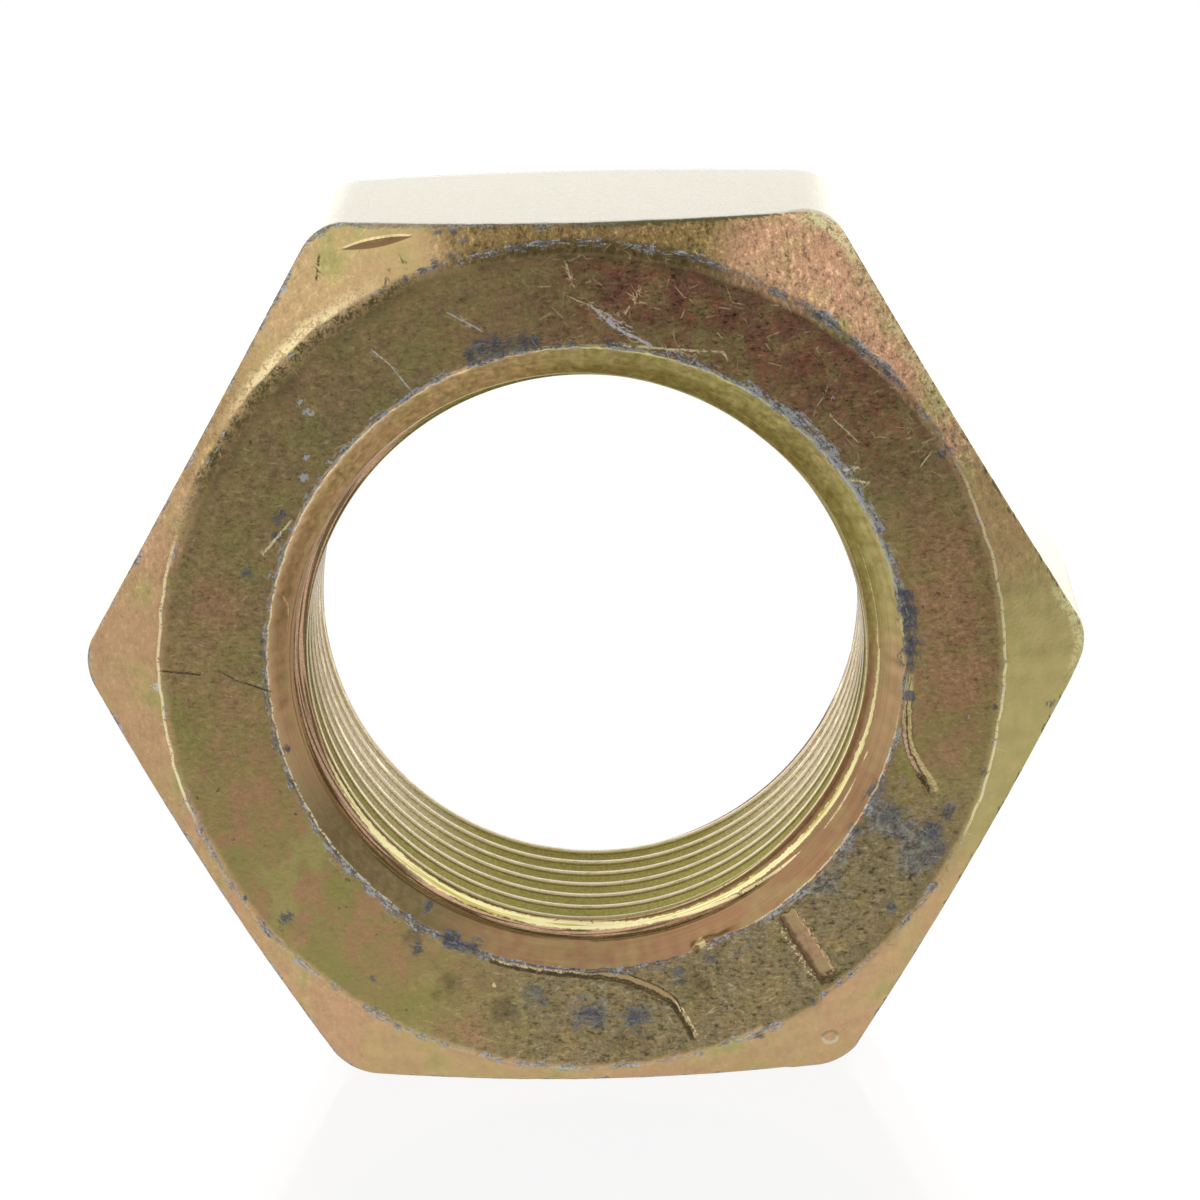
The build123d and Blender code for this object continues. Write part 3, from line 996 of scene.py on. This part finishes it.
def face_film(w, place, z, tints, patches, clouds, noises):
    """Film of a bearing face: brown and olive, gold lower left, red upper right, greyed below."""
    fine, grain = noises
    patch, other, spread = clouds
    reddish, golden, greyed = tints
    mottle = fine * 0.5 + other * 0.5
    film = w.mix(w.step(patch, 0.4, 0.6), FACE_BROWN, FACE_OLIVE)
    film = w.mix(w.step(other, 0.5, 0.66, 0.0, 0.6), film, FACE_VIOLET)
    film = w.mix(golden * w.step(patch, 0.26, 0.46), film, FACE_GOLD)
    film = w.mix(golden * w.step(other, 0.46, 0.6, 0.0, 0.85), film, FACE_ROSE)
    film = w.mix(golden * w.step(patch, 0.46, 0.34, 0.0, 0.5), film, GREEN_FILM)
    film = w.mix(reddish * w.step(mottle, 0.42, 0.52, 0.3, 1.0), film, FACE_RED)
    spot = grain * 0.5 + spread * 0.5
    spot = w.step(spot, 0.54, 0.62, 0.0, 0.7) * reddish
    film = w.mix(spot, film, DEEP_RED)
    film = w.mix(greyed * w.step(mottle, 0.38, 0.56, 0.25, 1.0), film, FACE_GREY)
    # Turns to green and rose, dark films and veils of slate, each with a cloudy edge
    turn, dark, veil = patches
    drift = fine - 0.5 + (spread - 0.5) * 1.6
    film = w.mix(w.step(turn + drift * 0.7, 0.25, 0.9, 0.0, 0.75), film, FACE_GREEN)
    film = w.mix(w.step(drift * 0.7 - turn, 0.25, 0.9, 0.0, 0.75), film, FACE_ROSE)
    dark = w.step(dark + drift * 1.1, 0.25, 0.95, 0.0, 0.65) * w.step(dark, 0.0, 0.2)
    film = w.mix(dark, film, DARK_OLIVE)
    shown = veil + (mottle - 0.5) * 2.2
    shown = w.step(shown, 0.35, 1.0, 0.0, 0.75) * w.step(veil, 0.0, 0.25)
    film = w.mix(shown, film, w.mix(w.step(fine, 0.38, 0.6), VEIL_DARK, VEIL_LIGHT))
    # Dark and light short strokes, stronger where it is reddish or greyed
    rough = 0.5 + w.larger(reddish, greyed) * 0.62
    rough = rough + golden * w.step(z, -5.0, 0.0, -0.28, 0.05)
    dash = w.noise(w.vector("MULTIPLY", place, (2.6, 2.6, 5.2)), 1.0, 2.0, 0.72)
    stroke = w.step(dash, 0.55, 0.66, 0.0, -0.4) + w.step(dash, 0.43, 0.32, 0.0, 0.42)
    light = stroke + (fine - 0.5) * 1.5
    light = light + (grain - 0.5) * 0.8
    light = 1.0 + light * rough
    return w.mix(1.0, film, light, "MULTIPLY")


def side_film(w, place, z, inside_edge, tints, clouds, noises):
    """Film of the chamfers, gold to pink with greenish patches, and of the paler flats, paler still on top
    as painted light.
    """
    fine, grain = noises
    patch, _, spread = clouds
    pink, olive, brown = tints
    film = w.mix(w.step(patch, 0.38, 0.62), GOLD_FILM, w.mix(0.45, GOLD_FILM, PINK_FILM))
    film = w.mix(pink * w.step(patch, 0.34, 0.6, 0.45, 1.0), film, PINK_FILM)
    film = w.mix(olive * w.step(patch, 0.28, 0.6, 0.6, 1.0), film, OLIVE_FILM)
    film = w.mix(w.step(patch, 0.42, 0.3, 0.0, 0.55), film, GREEN_FILM)
    film = w.mix(brown * w.step(fine, 0.25, 0.6, 0.6, 1.0), film, BROWN_FILM)
    flat = w.step(inside_edge, 0.0, -0.15)
    # The flats take a paler film, which grows paler towards the top: that gradient is painted light
    paled = flat * w.step(fine, 0.36, 0.62, 0.68, 0.97)
    film = w.mix(paled, film, w.mix(w.step(z, -24.0, 16.0), LOW_FLAT_FILM, TOP_FLAT_PAINTED_LIGHT))
    rough = w.larger(brown, pink * w.step(z, 0.0, 8.0, 0.2, 0.85))
    rough = (rough + 0.06) * (1.0 - flat * 0.8)
    fleck = w.noise(w.vector("MULTIPLY", place, (3.6, 2.0, 2.2)), 1.0, 2.0, 0.74)
    fleck = w.step(fleck, 0.53, 0.66, 0.0, -0.45) + w.step(fleck, 0.45, 0.32, 0.0, 0.7)
    fleck = fleck + (grain - 0.5) * 1.2
    light = 1.0 + (fine - 0.5) * (0.22 + rough * 0.5)
    light = light + (spread - 0.5) * (0.35 - flat * 0.3)
    light = light + fleck * rough
    return w.mix(1.0, film, light, "MULTIPLY")


def cone_film(w, z, radius, tints, turned, clouds, noises):
    """Countersink film: copper, olive round the top, dark at the lower left, turned lines; painted light
    above.
    """
    fine, _ = noises
    patch, other, _ = clouds
    olive, dark, copper = tints
    # Painted light: copper and olive turn paler from 2 to 13 mm above the axis, on the cone's upper part
    film = w.mix(copper, w.mix(w.step(z, 2.0, 13.0), COPPER_FILM, TOP_COPPER_PAINTED_LIGHT), COPPER_SHADE)
    film = w.mix(w.step(other, 0.42, 0.64, 0.0, 0.3), film,
                 w.mix(w.step(z, 2.0, 13.0), OLIVE_FILM, OLIVE_WITH_PAINTED_LIGHT))
    film = w.mix(olive * w.step(patch, 0.3, 0.6, 0.65, 1.0), film, OLIVE_WITH_PAINTED_LIGHT)
    foot = w.step(radius, 17.0, 15.4) + (other - 0.5) * 2.5
    film = w.mix(olive * w.step(foot, 0.2, 0.9, 0.0, 0.6), film, CONE_BROWN)
    film = w.mix(dark * w.step(fine, 0.3, 0.62, 0.75, 1.0), film, CONE_DARK)
    light = 1.0 + (turned - 0.5) * 0.4
    light = light + (fine - 0.5) * w.step(z, 0.0, 12.0, 0.4, 0.9)
    return w.mix(1.0, film, light, "MULTIPLY")


def thread_film(w, place, bands, grooves, turned, noises):
    """Film of the thread: olive grooves, pale crests and copper lines where it starts, with painted shade
    and light.
    """
    _, grain = noises
    start, wide_crest, crest = bands
    _, deep_bore_light_share, ramp = grooves
    # Painted light: deeper in the bore, away from its bottom, the grooves are pale tan; painted shade
    # darkens the roots
    film = w.mix(deep_bore_light_share, GROOVE_FILM, DEEP_BORE_PAINTED_LIGHT)
    root = w.step(ramp, 0.75, 1.0, 0.0, 0.55) * (1.0 - deep_bore_light_share * 0.6)
    film = w.mix(root, film, ROOT_PAINTED_SHADE)
    lines = w.mix(w.step(turned, 0.42, 0.56), START_BROWN, START_COPPER)
    film = w.mix(start * w.step(ramp, 1.0, 0.85, 0.45, 1.0), film, lines)
    torn = w.step(w.noise(w.vector("MULTIPLY", place, (0.7, 2.0, 0.7)), 1.0, 2.0, 0.7), 0.3, 0.46)
    line = w.step(crest, 0.15, 0.45) * torn
    line = line * w.step(wide_crest, 0.2, 0.6, 1.0, 0.25)
    film = w.mix(line, film, w.mix(deep_bore_light_share, CREST_FILM, INNER_CREST))
    return w.mix(1.0, film, w.step(grain, 0.28, 0.72, 0.86, 1.14), "MULTIPLY")


def first_crest(w, colour, bands, grooves, turned, noises):
    """Paints highlights on the first crest at the bottom: a bright flank before it, a cream line where it is
    cut.
    """
    fine, _ = noises
    _, wide_crest, _ = bands
    past_groove, _, ramp = grooves
    # Painted highlight: a bright gold to yellow band up the flank before the first crest
    ragged = ramp + (fine - 0.5) * 0.35
    room = 0.13 + wide_crest * 0.4 - ragged
    flank = w.step(room, 0.0, 0.07) * w.step(ragged, 0.06, 0.12)
    flank = flank * w.step(wide_crest, 0.2, 0.5)
    colour = w.mix(flank, colour, w.mix(w.step(turned, 0.36, 0.5), FLANK_HIGHLIGHT_GOLD, FLANK_HIGHLIGHT_YELLOW))
    # Painted highlight: a cream line where the cone cuts the groove
    cut = w.step(abs(past_groove - 0.03), 0.05, 0.02)
    cut = cut * w.step(wide_crest, 0.05, 0.25)
    return w.mix(cut * w.step(fine, 0.34, 0.44), colour, CREAM_PAINTED_HIGHLIGHT)


def worn_rims(w, colour, place, radius, places, marks, lines, edges, spots, shine, spread, noises):
    """Adds wear along rims and edges: slate and light zinc in smears; painted shade bands and highlight
    lines.
    """
    fine, grain = noises
    x, _, z = w.split(place)
    past_mouth, past_rim, inside_edge = places
    worn_mouth, worn_rim, _ = marks
    mouth_highlight_line, rim_highlight_line, rim_shade_band = lines
    dark_edge, rim_highlight_band, worn_edge = edges
    slate_spot, white_spot, golden_spot = spots
    ragged = grain * 0.4 + fine * 0.6
    # Noise drawn out along the rims
    smear = w.join(x * 1.3, radius * 6.5, z * 1.3)
    smear = w.noise(smear, 1.0, 2.0, 0.69)

    # Bands beside the outer rim: painted shade on the face, a painted cream highlight on the chamfer
    band = rim_shade_band * w.step(past_rim, -1.5, -0.1)
    band = band * w.step(past_rim, 0.3, 0.0) * w.step(ragged, 0.42, 0.58, 0.2, 1.0)
    colour = w.mix(band, colour, RIM_PAINTED_SHADE)
    band = w.step(past_rim, 0.05, 0.25) * w.step(past_rim, 1.1, 0.35)
    band = rim_highlight_band * band * w.step(ragged, 0.42, 0.54, 0.1, 0.75)
    colour = w.mix(band, colour, CREAM_PAINTED_HIGHLIGHT)

    to_mouth = w.larger(past_mouth - 0.15, past_mouth * -3.0)
    to_rim = abs(past_rim + 0.02)
    near = worn_mouth * 0.72 - to_mouth * 0.95
    near_rim = worn_rim * 0.72 - to_rim * 0.95
    near = w.larger(near, near_rim)
    noise = spread - 0.5 + (smear - 0.5) * 1.1
    grey = w.step(near + noise, 0.04, 0.24) * w.step(near, -0.3, -0.08)
    near_edge = worn_edge - abs(inside_edge) * 1.1
    edge = w.step(near_edge + noise * 0.9, 0.02, 0.14)
    colour = w.mix(edge * dark_edge * 0.9, colour, EDGE_SHADE)
    grey = w.larger(grey, edge * (0.9 - dark_edge))
    grey = grey * w.step(ragged, 0.4, 0.52, 0.3, 1.0)
    speckle = noise * 1.8 + (ragged - 0.5) * 2.0
    spot = w.step(speckle + slate_spot, 0.3, 0.85, 0.0, 0.92)
    spot = spot * w.step(slate_spot, 0.02, 0.3)
    flecks = grain * 0.4 + smear * 0.6
    pale_mouth, pale_rim, corner = shine
    green = corner * w.step(inside_edge, 0.9, 0.5) * w.step(ragged, 0.45, 0.56, 0.08, 0.95)
    colour = w.mix(green, colour, CORNER_CREAM)
    on_mouth = pale_mouth * w.step(past_mouth, 1.5, 1.0)
    pale = w.larger(on_mouth, pale_rim * w.step(past_rim, -1.0, -0.5)) * 0.075
    paler = flecks + pale
    zinc = w.mix(w.step(paler, 0.42, 0.53), SLATE_ZINC, MIDDLE_ZINC)
    zinc = w.mix(w.step(paler, 0.53, 0.6), zinc, LIGHT_ZINC)
    colour = w.mix(grey, colour, zinc)
    colour = w.mix(spot, colour, w.mix(w.step(flecks, 0.48, 0.62), SLATE_ZINC, MIDDLE_ZINC))
    drawn = (flecks - 0.5) * 4.0
    white = w.step(white_spot + drawn, 0.5, 0.8, 0.0, 0.9)
    white = white * w.step(white_spot, 0.02, 0.2)
    colour = w.mix(white, colour, WHITE_ZINC)
    golden = w.step(golden_spot + speckle * 0.6, 0.4, 0.6, 0.0, 0.9)
    golden = golden * w.step(golden_spot, 0.02, 0.2)
    colour = w.mix(golden, colour, GOLDEN_FLECK)
    grey = w.larger(grey, spot)

    # Thin bright lines on the mouth's rim and the outer rim: partly worn pale film, partly painted highlight
    closest = w.step(abs(past_mouth + 0.02), 0.09, 0.03)
    gleam = closest * mouth_highlight_line * w.step(ragged, 0.42, 0.5)
    closest = w.step(abs(past_rim - 0.02), 0.115, 0.05)
    gleam = w.larger(gleam, closest * rim_highlight_line * w.step(ragged, 0.38, 0.46))
    colour = w.mix(gleam * 0.9, colour, PALE_FILM_AND_HIGHLIGHT)
    return colour, grey


def gouge_lines(w, colour, right_gouge, low_gouge, front, noises):
    """Adds golden burrs and a dark floor along the right gouge, and the lower gouge's fine lines."""
    fine, grain = noises
    shake = (fine - 0.5) * 0.35
    aside, place, _ = right_gouge
    aside = aside + shake
    # Where the tool struck: a golden block between two of slate
    streaks = w.step(w.noise(w.join(aside * 16.0, place * 6.0, 0.0), 1.0, 1.0), 0.36, 0.6)
    block = w.between(place, 0.012, 0.132, 0.006) * w.step(abs(aside), 0.36, 0.28)
    block = block * front
    colour = w.mix(block, colour, w.mix(streaks, STRUCK_BROWN, STRUCK_GOLD))
    block = w.between(place, 0.14, 0.215, 0.006) * w.step(abs(aside), 0.44, 0.36)
    block = block * front * 0.9
    colour = w.mix(block, colour, w.mix(streaks, SLATE_ZINC, MIDDLE_ZINC))
    within = w.between(place, 0.225, 0.99, 0.006) * front
    colour = w.mix(w.step(abs(aside), 0.34, 0.28) * within, colour, GOUGE_WALL)
    floor = w.step(abs(aside + 0.03), 0.09, 0.04) * within
    left = w.between(aside, -0.24, -0.09, 0.03) * w.step(place, 0.86, 0.8)
    right = w.between(aside, 0.03, w.step(place, 0.5, 0.9, 0.19, 0.3), 0.03)
    right = w.larger(right, w.between(aside, -0.16, 0.2, 0.04) * w.step(place, 0.86, 0.9))
    torn = w.step(grain, 0.4, 0.52, 0.45, 0.95)
    colour = w.mix(floor * 0.7, colour, GOUGE_FLOOR)
    colour = w.mix(right * within * torn, colour, RIGHT_RIDGE)
    pinkish = w.mix(w.step(place, 0.3, 0.55), LEFT_RIDGE, PINK_RIDGE)
    colour = w.mix(left * within * torn, colour, pinkish)
    hole = w.between(aside, -0.34, -0.12, 0.04) * w.between(place, 0.8, 0.96, 0.02)
    hole = hole * within * w.step(grain, 0.4, 0.5)
    colour = w.mix(hole * 0.9, colour, TORN_HOLE)
    aside, place, _ = low_gouge
    aside = aside + shake
    within = w.between(place, 0.03, 0.985, 0.01) * front
    ends = w.larger(w.step(place, 0.45, 0.36), w.step(place, 0.78, 0.84))
    dark = w.between(aside, -0.26, -0.08, 0.04) * within
    colour = w.mix(dark * w.step(grain, 0.36, 0.5, 0.5, 0.9), colour, GOUGE_SHADOW)
    tail = w.step(place, 0.8, 0.86)
    gold = w.between(aside - tail * 0.07, -0.06, 0.13, 0.04)
    gold = gold * ends * within
    gold = gold * w.step(grain, 0.4, 0.5, 0.15, 0.95)
    return w.mix(gold, colour, GOUGE_GOLD)


def plated_steel():
    """Zinc with a yellow film on turned steel: shades drift over it, rims and high spots are worn grey."""
    material = bpy.data.materials.new("yellow_zinc_plated_steel")
    w = Wiring(material)
    shader = w.node("ShaderNodeBsdfPrincipled")
    w.surface("ShaderNodeOutputMaterial", shader)

    place = w.vector("SCALE", w.coordinates("Object"), scale=1 / MM)
    x, y, z = w.split(place)
    face, cone, thread = w.split(w.value("zones"))
    (places, _, marks, tints, lines, edges, spots, patches, scratches, clouds, right_gouge, low_gouge,
     bands, grooves, shine) = (w.split(w.value(name)) for name in VALUES)
    cut = marks[2]
    spread = clouds[2]

    fine = w.noise(place, 2.4, 3.0, 0.68)
    grain = w.noise(place, 7.5, 1.0, 0.6)
    noises = (fine, grain)
    radius = w.vector("LENGTH", w.vector("MULTIPLY", place, (1.0, 0.0, 1.0)))
    turned = w.join(radius * 8.0, y * 8.0, x * 0.2)
    turned = w.noise(turned, 1.0, 1.0, 0.6)

    colour = w.mix(face, side_film(w, place, z, places[2], tints, clouds, noises),
                   face_film(w, place, z, tints, patches, clouds, noises))
    colour = w.mix(cone, colour, cone_film(w, z, radius, tints, turned, clouds, noises))
    colour = w.mix(thread, colour, thread_film(w, place, bands, grooves, turned, noises))
    colour = first_crest(w, colour, bands, grooves, turned, noises)

    on_front = w.step(y, *AT_FACE)
    # The floors of what is cut into the face are clean, with painted shade at their foot
    floor = cut + (fine - 0.5) * 0.6
    clean = w.mix(w.step(fine, 0.36, 0.62), CLEAN_FLOOR, tuple(1.35 * c for c in CLEAN_FLOOR))
    bar_middle = tuple((a + b) / 2 for a, b in zip(*GRADE_BAR))
    bar_step = Vector(b - a for a, b in zip(*GRADE_BAR)).normalized()
    offset = w.vector("SUBTRACT", place, (bar_middle[0], 0.0, bar_middle[1]))
    bar_ahead = w.vector("DOT_PRODUCT", offset, (bar_step[0], 0.0, bar_step[1]))
    bar_aside = w.vector("DOT_PRODUCT", offset, (-bar_step[1], 0.0, bar_step[0]))
    in_bar = w.step(abs(bar_ahead), 2.9, 2.7) * w.step(abs(bar_aside), 1.2, 1.0)
    clean = w.mix(w.step(abs(bar_ahead), 0.6, 1.7, 0.0, 0.7), clean, FLOOR_GOLD)
    colour = w.mix(w.step(floor, 0.45, 0.75), colour, clean)
    shade = w.step(floor, 0.1, 0.35) * w.step(floor, 0.75, 0.5)
    shade = shade * w.step(cut, 0.02, 0.1)
    colour = w.mix(shade * 0.85, colour, FOOT_PAINTED_SHADE)
    # The bar's left wall gets a painted shadow and its right edge a painted highlight, with crumbs of burr
    # along the left
    along_bar = in_bar * face * on_front
    shaken = bar_aside + (fine - 0.5) * 0.35
    within = along_bar * w.step(abs(bar_ahead), 2.15, 2.0)
    bar_wall_shadow = w.step(shaken, -0.2, -0.42) * w.step(shaken, -0.66, -0.58)
    colour = w.mix(bar_wall_shadow * within * 0.7, colour, BAR_WALL_PAINTED_SHADOW)
    edge = w.between(shaken, 0.4, 0.52, 0.04) * w.step(grain, 0.38, 0.48)
    colour = w.mix(edge * within, colour, BAR_EDGE_PAINTED_HIGHLIGHT)
    crumbs = w.between(shaken, -0.86, -0.62, 0.06) * w.step(grain, 0.56, 0.62)
    colour = w.mix(crumbs * within, colour, BURR_CRUMB)
    foot = w.between(bar_ahead, 1.95, 2.32, 0.08) * w.step(abs(shaken), 0.66, 0.55)
    foot = foot * along_bar * w.step(grain, 0.42, 0.54)
    colour = w.mix(foot * 0.8, colour, BAR_FOOT)

    colour, grey = worn_rims(w, colour, place, radius, places, marks, lines, edges, spots, shine, spread,
                             noises)

    # Scratches on the front, slightly shaken so that they aren't ruled
    front = face * on_front
    aside, tone, shows = scratches
    aside = aside + (fine - 0.5) * 3.0
    shade = w.mix(w.step(tone, -0.9, -0.1), DARK_SCRATCH, PALE_FILM_AND_HIGHLIGHT)
    shade = w.mix(w.step(tone, 0.1, 0.9), shade, WHITE_SCRATCH)
    mask = w.step(abs(aside), 1.3, 0.5) * shows * w.step(cut, 0.3, 0.05)
    colour = w.mix(mask * w.step(grain, 0.34, 0.5, 0.4, 1.0), colour, shade)
    colour = gouge_lines(w, colour, right_gouge, low_gouge, front, noises)
    on_chamfer = w.step(y, *AT_CHAMFER) * w.step(face, 0.5, 0.0)
    # The slit on the chamfer: a painted cream highlight just above it, then its brown floor
    slit = w.boat(x, z - 0.1, CHAMFER_SLIT[0], CHAMFER_SLIT[-1], 0.26)
    colour = w.mix(slit * on_chamfer * 0.6, colour, CREAM_PAINTED_HIGHLIGHT)
    slit = w.boat(x, z, CHAMFER_SLIT[0], CHAMFER_SLIT[-1], 0.22)
    colour = w.mix(slit * on_chamfer, colour, SLIT_FLOOR)
    lip = w.between(radius, 15.955, 15.985, 0.02)
    lip = lip * w.step(z, -8.5, -10.0) * w.step(x, -5.0, 0.0)
    lip = lip * on_front * w.step(fine, 0.36, 0.46)
    colour = w.mix(lip * 0.75, colour, MOUTH_LIP)

    # Pits, as irregular dark specks, nearly all on the bearing faces
    pit = w.noise(place, 1.9, 2.0, 0.62)
    pit = w.step(pit, 0.7, 0.76) * (0.1 + face * 0.6)
    colour = w.mix(pit * w.step(grain, 0.34, 0.52, 0.35, 1.0), colour, DARK_PIT)
    # The ring dent on the chamfer: painted highlight on its lower side, painted shade on its upper side
    ring = w.vector("DISTANCE", w.join(x, 0.0, z), (RING_DENT[0], 0.0, RING_DENT[1])) - RING_RADIUS
    ring = ring + (fine - 0.5) * 0.3
    ring = w.step(abs(ring), 0.13, 0.05) * on_chamfer
    ring_light_and_shade = w.mix(w.step(z, RING_DENT[1] - 0.1, RING_DENT[1] + 0.2), RING_PAINTED_HIGHLIGHT, RING_PAINTED_SHADE)
    colour = w.mix(ring * 0.7, colour, ring_light_and_shade)

    w.wire(shader.inputs["Base Color"], colour)
    shader.inputs["Metallic"].default_value = 1.0
    rough = w.step(fine, 0.3, 0.7, 0.285, 0.365) + face * 0.05
    rough = rough + grey * 0.1
    w.wire(shader.inputs["Roughness"], rough)
    bump = w.node("ShaderNodeBump")
    bump.inputs["Distance"].default_value = 0.00003
    w.wire(bump.inputs["Strength"], w.step(cone, 0.0, 1.0, 0.5, 0.1))
    w.wire(bump.inputs["Height"], w.noise(place, 5.0, 1.0, 0.6))
    w.wire(shader.inputs["Normal"], Wire(w, bump.outputs[0]))
    return material


def plane_object(name, x_low, x_high, y_low, y_high, height):
    """A level rectangle in millimetres, made as a small grid."""
    x, y = np.meshgrid(np.linspace(x_low, x_high, 9), np.linspace(y_low, y_high, 9))
    points = np.stack([x, y, height + 0 * x], -1)
    index = np.arange(81).reshape(9, 9)
    faces = np.stack([index[:-1, :-1], index[:-1, 1:], index[1:, 1:], index[1:, :-1]], -1).reshape(-1, 4)
    mesh = bpy.data.meshes.new(name)
    mesh.from_pydata((points.reshape(-1, 3) * MM).tolist(), [], faces.tolist())
    return placed(name, mesh)


def bench_finish():
    """White gloss sheet, nearly the backdrop's white, with the nut's soft shadow and faint image."""
    material = bpy.data.materials.new("white_gloss_sheet")
    w = Wiring(material)
    matt = w.node("ShaderNodeBsdfDiffuse")
    matt.inputs["Color"].default_value = (0.86, 0.86, 0.86, 1)
    gloss = w.node("ShaderNodeBsdfGlossy")
    gloss.inputs["Roughness"].default_value = 0.12
    camera, mirrored = w.rays()
    depth = w.split(w.coordinates("Object"))[1]
    share = camera * 0.965 + mirrored * w.step(depth, BENCH_START * MM, -25 * MM, 0.62, 0.85)
    lit = w.mix_shaders(share, matt, w.node("ShaderNodeEmission"))
    w.surface("ShaderNodeOutputMaterial", w.mix_shaders(0.07, lit, gloss))
    return material


def studio_world():
    """White behind the nut and overhead, dimmer on the camera's side, so the face turned to it is darker."""
    world = bpy.data.worlds.new("studio")
    bpy.context.scene.world = world
    w = Wiring(world)
    x, y, z = w.split(w.coordinates("Generated"))
    level = w.step(y, -1.0, -0.1, 0.46, 1.0) * (1.0 - x * 0.2)
    upper = w.vector("DOT_PRODUCT", w.join(abs(x), y, z), (0.47, -0.665, 0.578))
    level = level + w.step(upper, 0.84, 0.985, 0.0, 0.4)
    camera, mirrored = w.rays()
    level = w.larger(level, w.larger(camera, mirrored * w.step(y, -0.1, 0.15)))
    background = w.node("ShaderNodeBackground")
    background.inputs["Color"].default_value = (1, 1, 1, 1)
    w.wire(background.inputs["Strength"], level)
    w.surface("ShaderNodeOutputWorld", background)


def soft_lamp(name, place, aim, width, height, power):
    """Rectangular soft light at a place in millimetres, turned to face another."""
    light = bpy.data.lights.new(name, "AREA")
    light.shape = "RECTANGLE"
    light.size = width * MM
    light.size_y = height * MM
    light.energy = power
    lamp = placed(name, light)
    back = np.array(place, float) - np.array(aim, float)
    back /= np.linalg.norm(back)
    side = np.cross((0, 0, 1), back)
    side /= np.linalg.norm(side)
    turn = np.column_stack([side, np.cross(back, side), back])
    lamp.matrix_world = Matrix.Translation([c * MM for c in place]) @ Matrix(turn.tolist()).to_4x4()
    lamp.visible_camera = False


def camera_in_place():
    """The photograph's view: a long lens in front of the nut and above it, looking a little down."""
    lens = bpy.data.cameras.new("camera")
    lens.lens = LENS_LENGTH
    lens.sensor_width = 36
    lens.clip_start = 0.01
    camera = placed("camera", lens)
    turn = Matrix.Rotation(CAMERA_YAW, 4, "Z") @ Matrix.Rotation(CAMERA_PITCH, 4, "X")
    turn = turn @ Matrix.Rotation(CAMERA_ROLL, 4, "Z")
    camera.matrix_world = Matrix.Translation([c * MM for c in CAMERA_PLACE]) @ turn
    bpy.context.scene.camera = camera


nut = mesh_object("hex_nut_plated", *build_nut())
nut.data.materials.append(plated_steel())
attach(nut, "root")
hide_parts("hex_nut")

bench = plane_object("bench", -320, 320, BENCH_START, 196, BENCH)
bench.data.materials.append(bench_finish())

studio_world()
soft_lamp("lamp_behind", (0, 200, 18.5), (0, 0, 18.5), 400, 83, 0.119)
soft_lamp("lamp_left", (-230, -330, 80), (0, 0, 0), 150, 150, 0.075)
camera_in_place()
bpy.context.scene.view_settings.view_transform = "Standard"
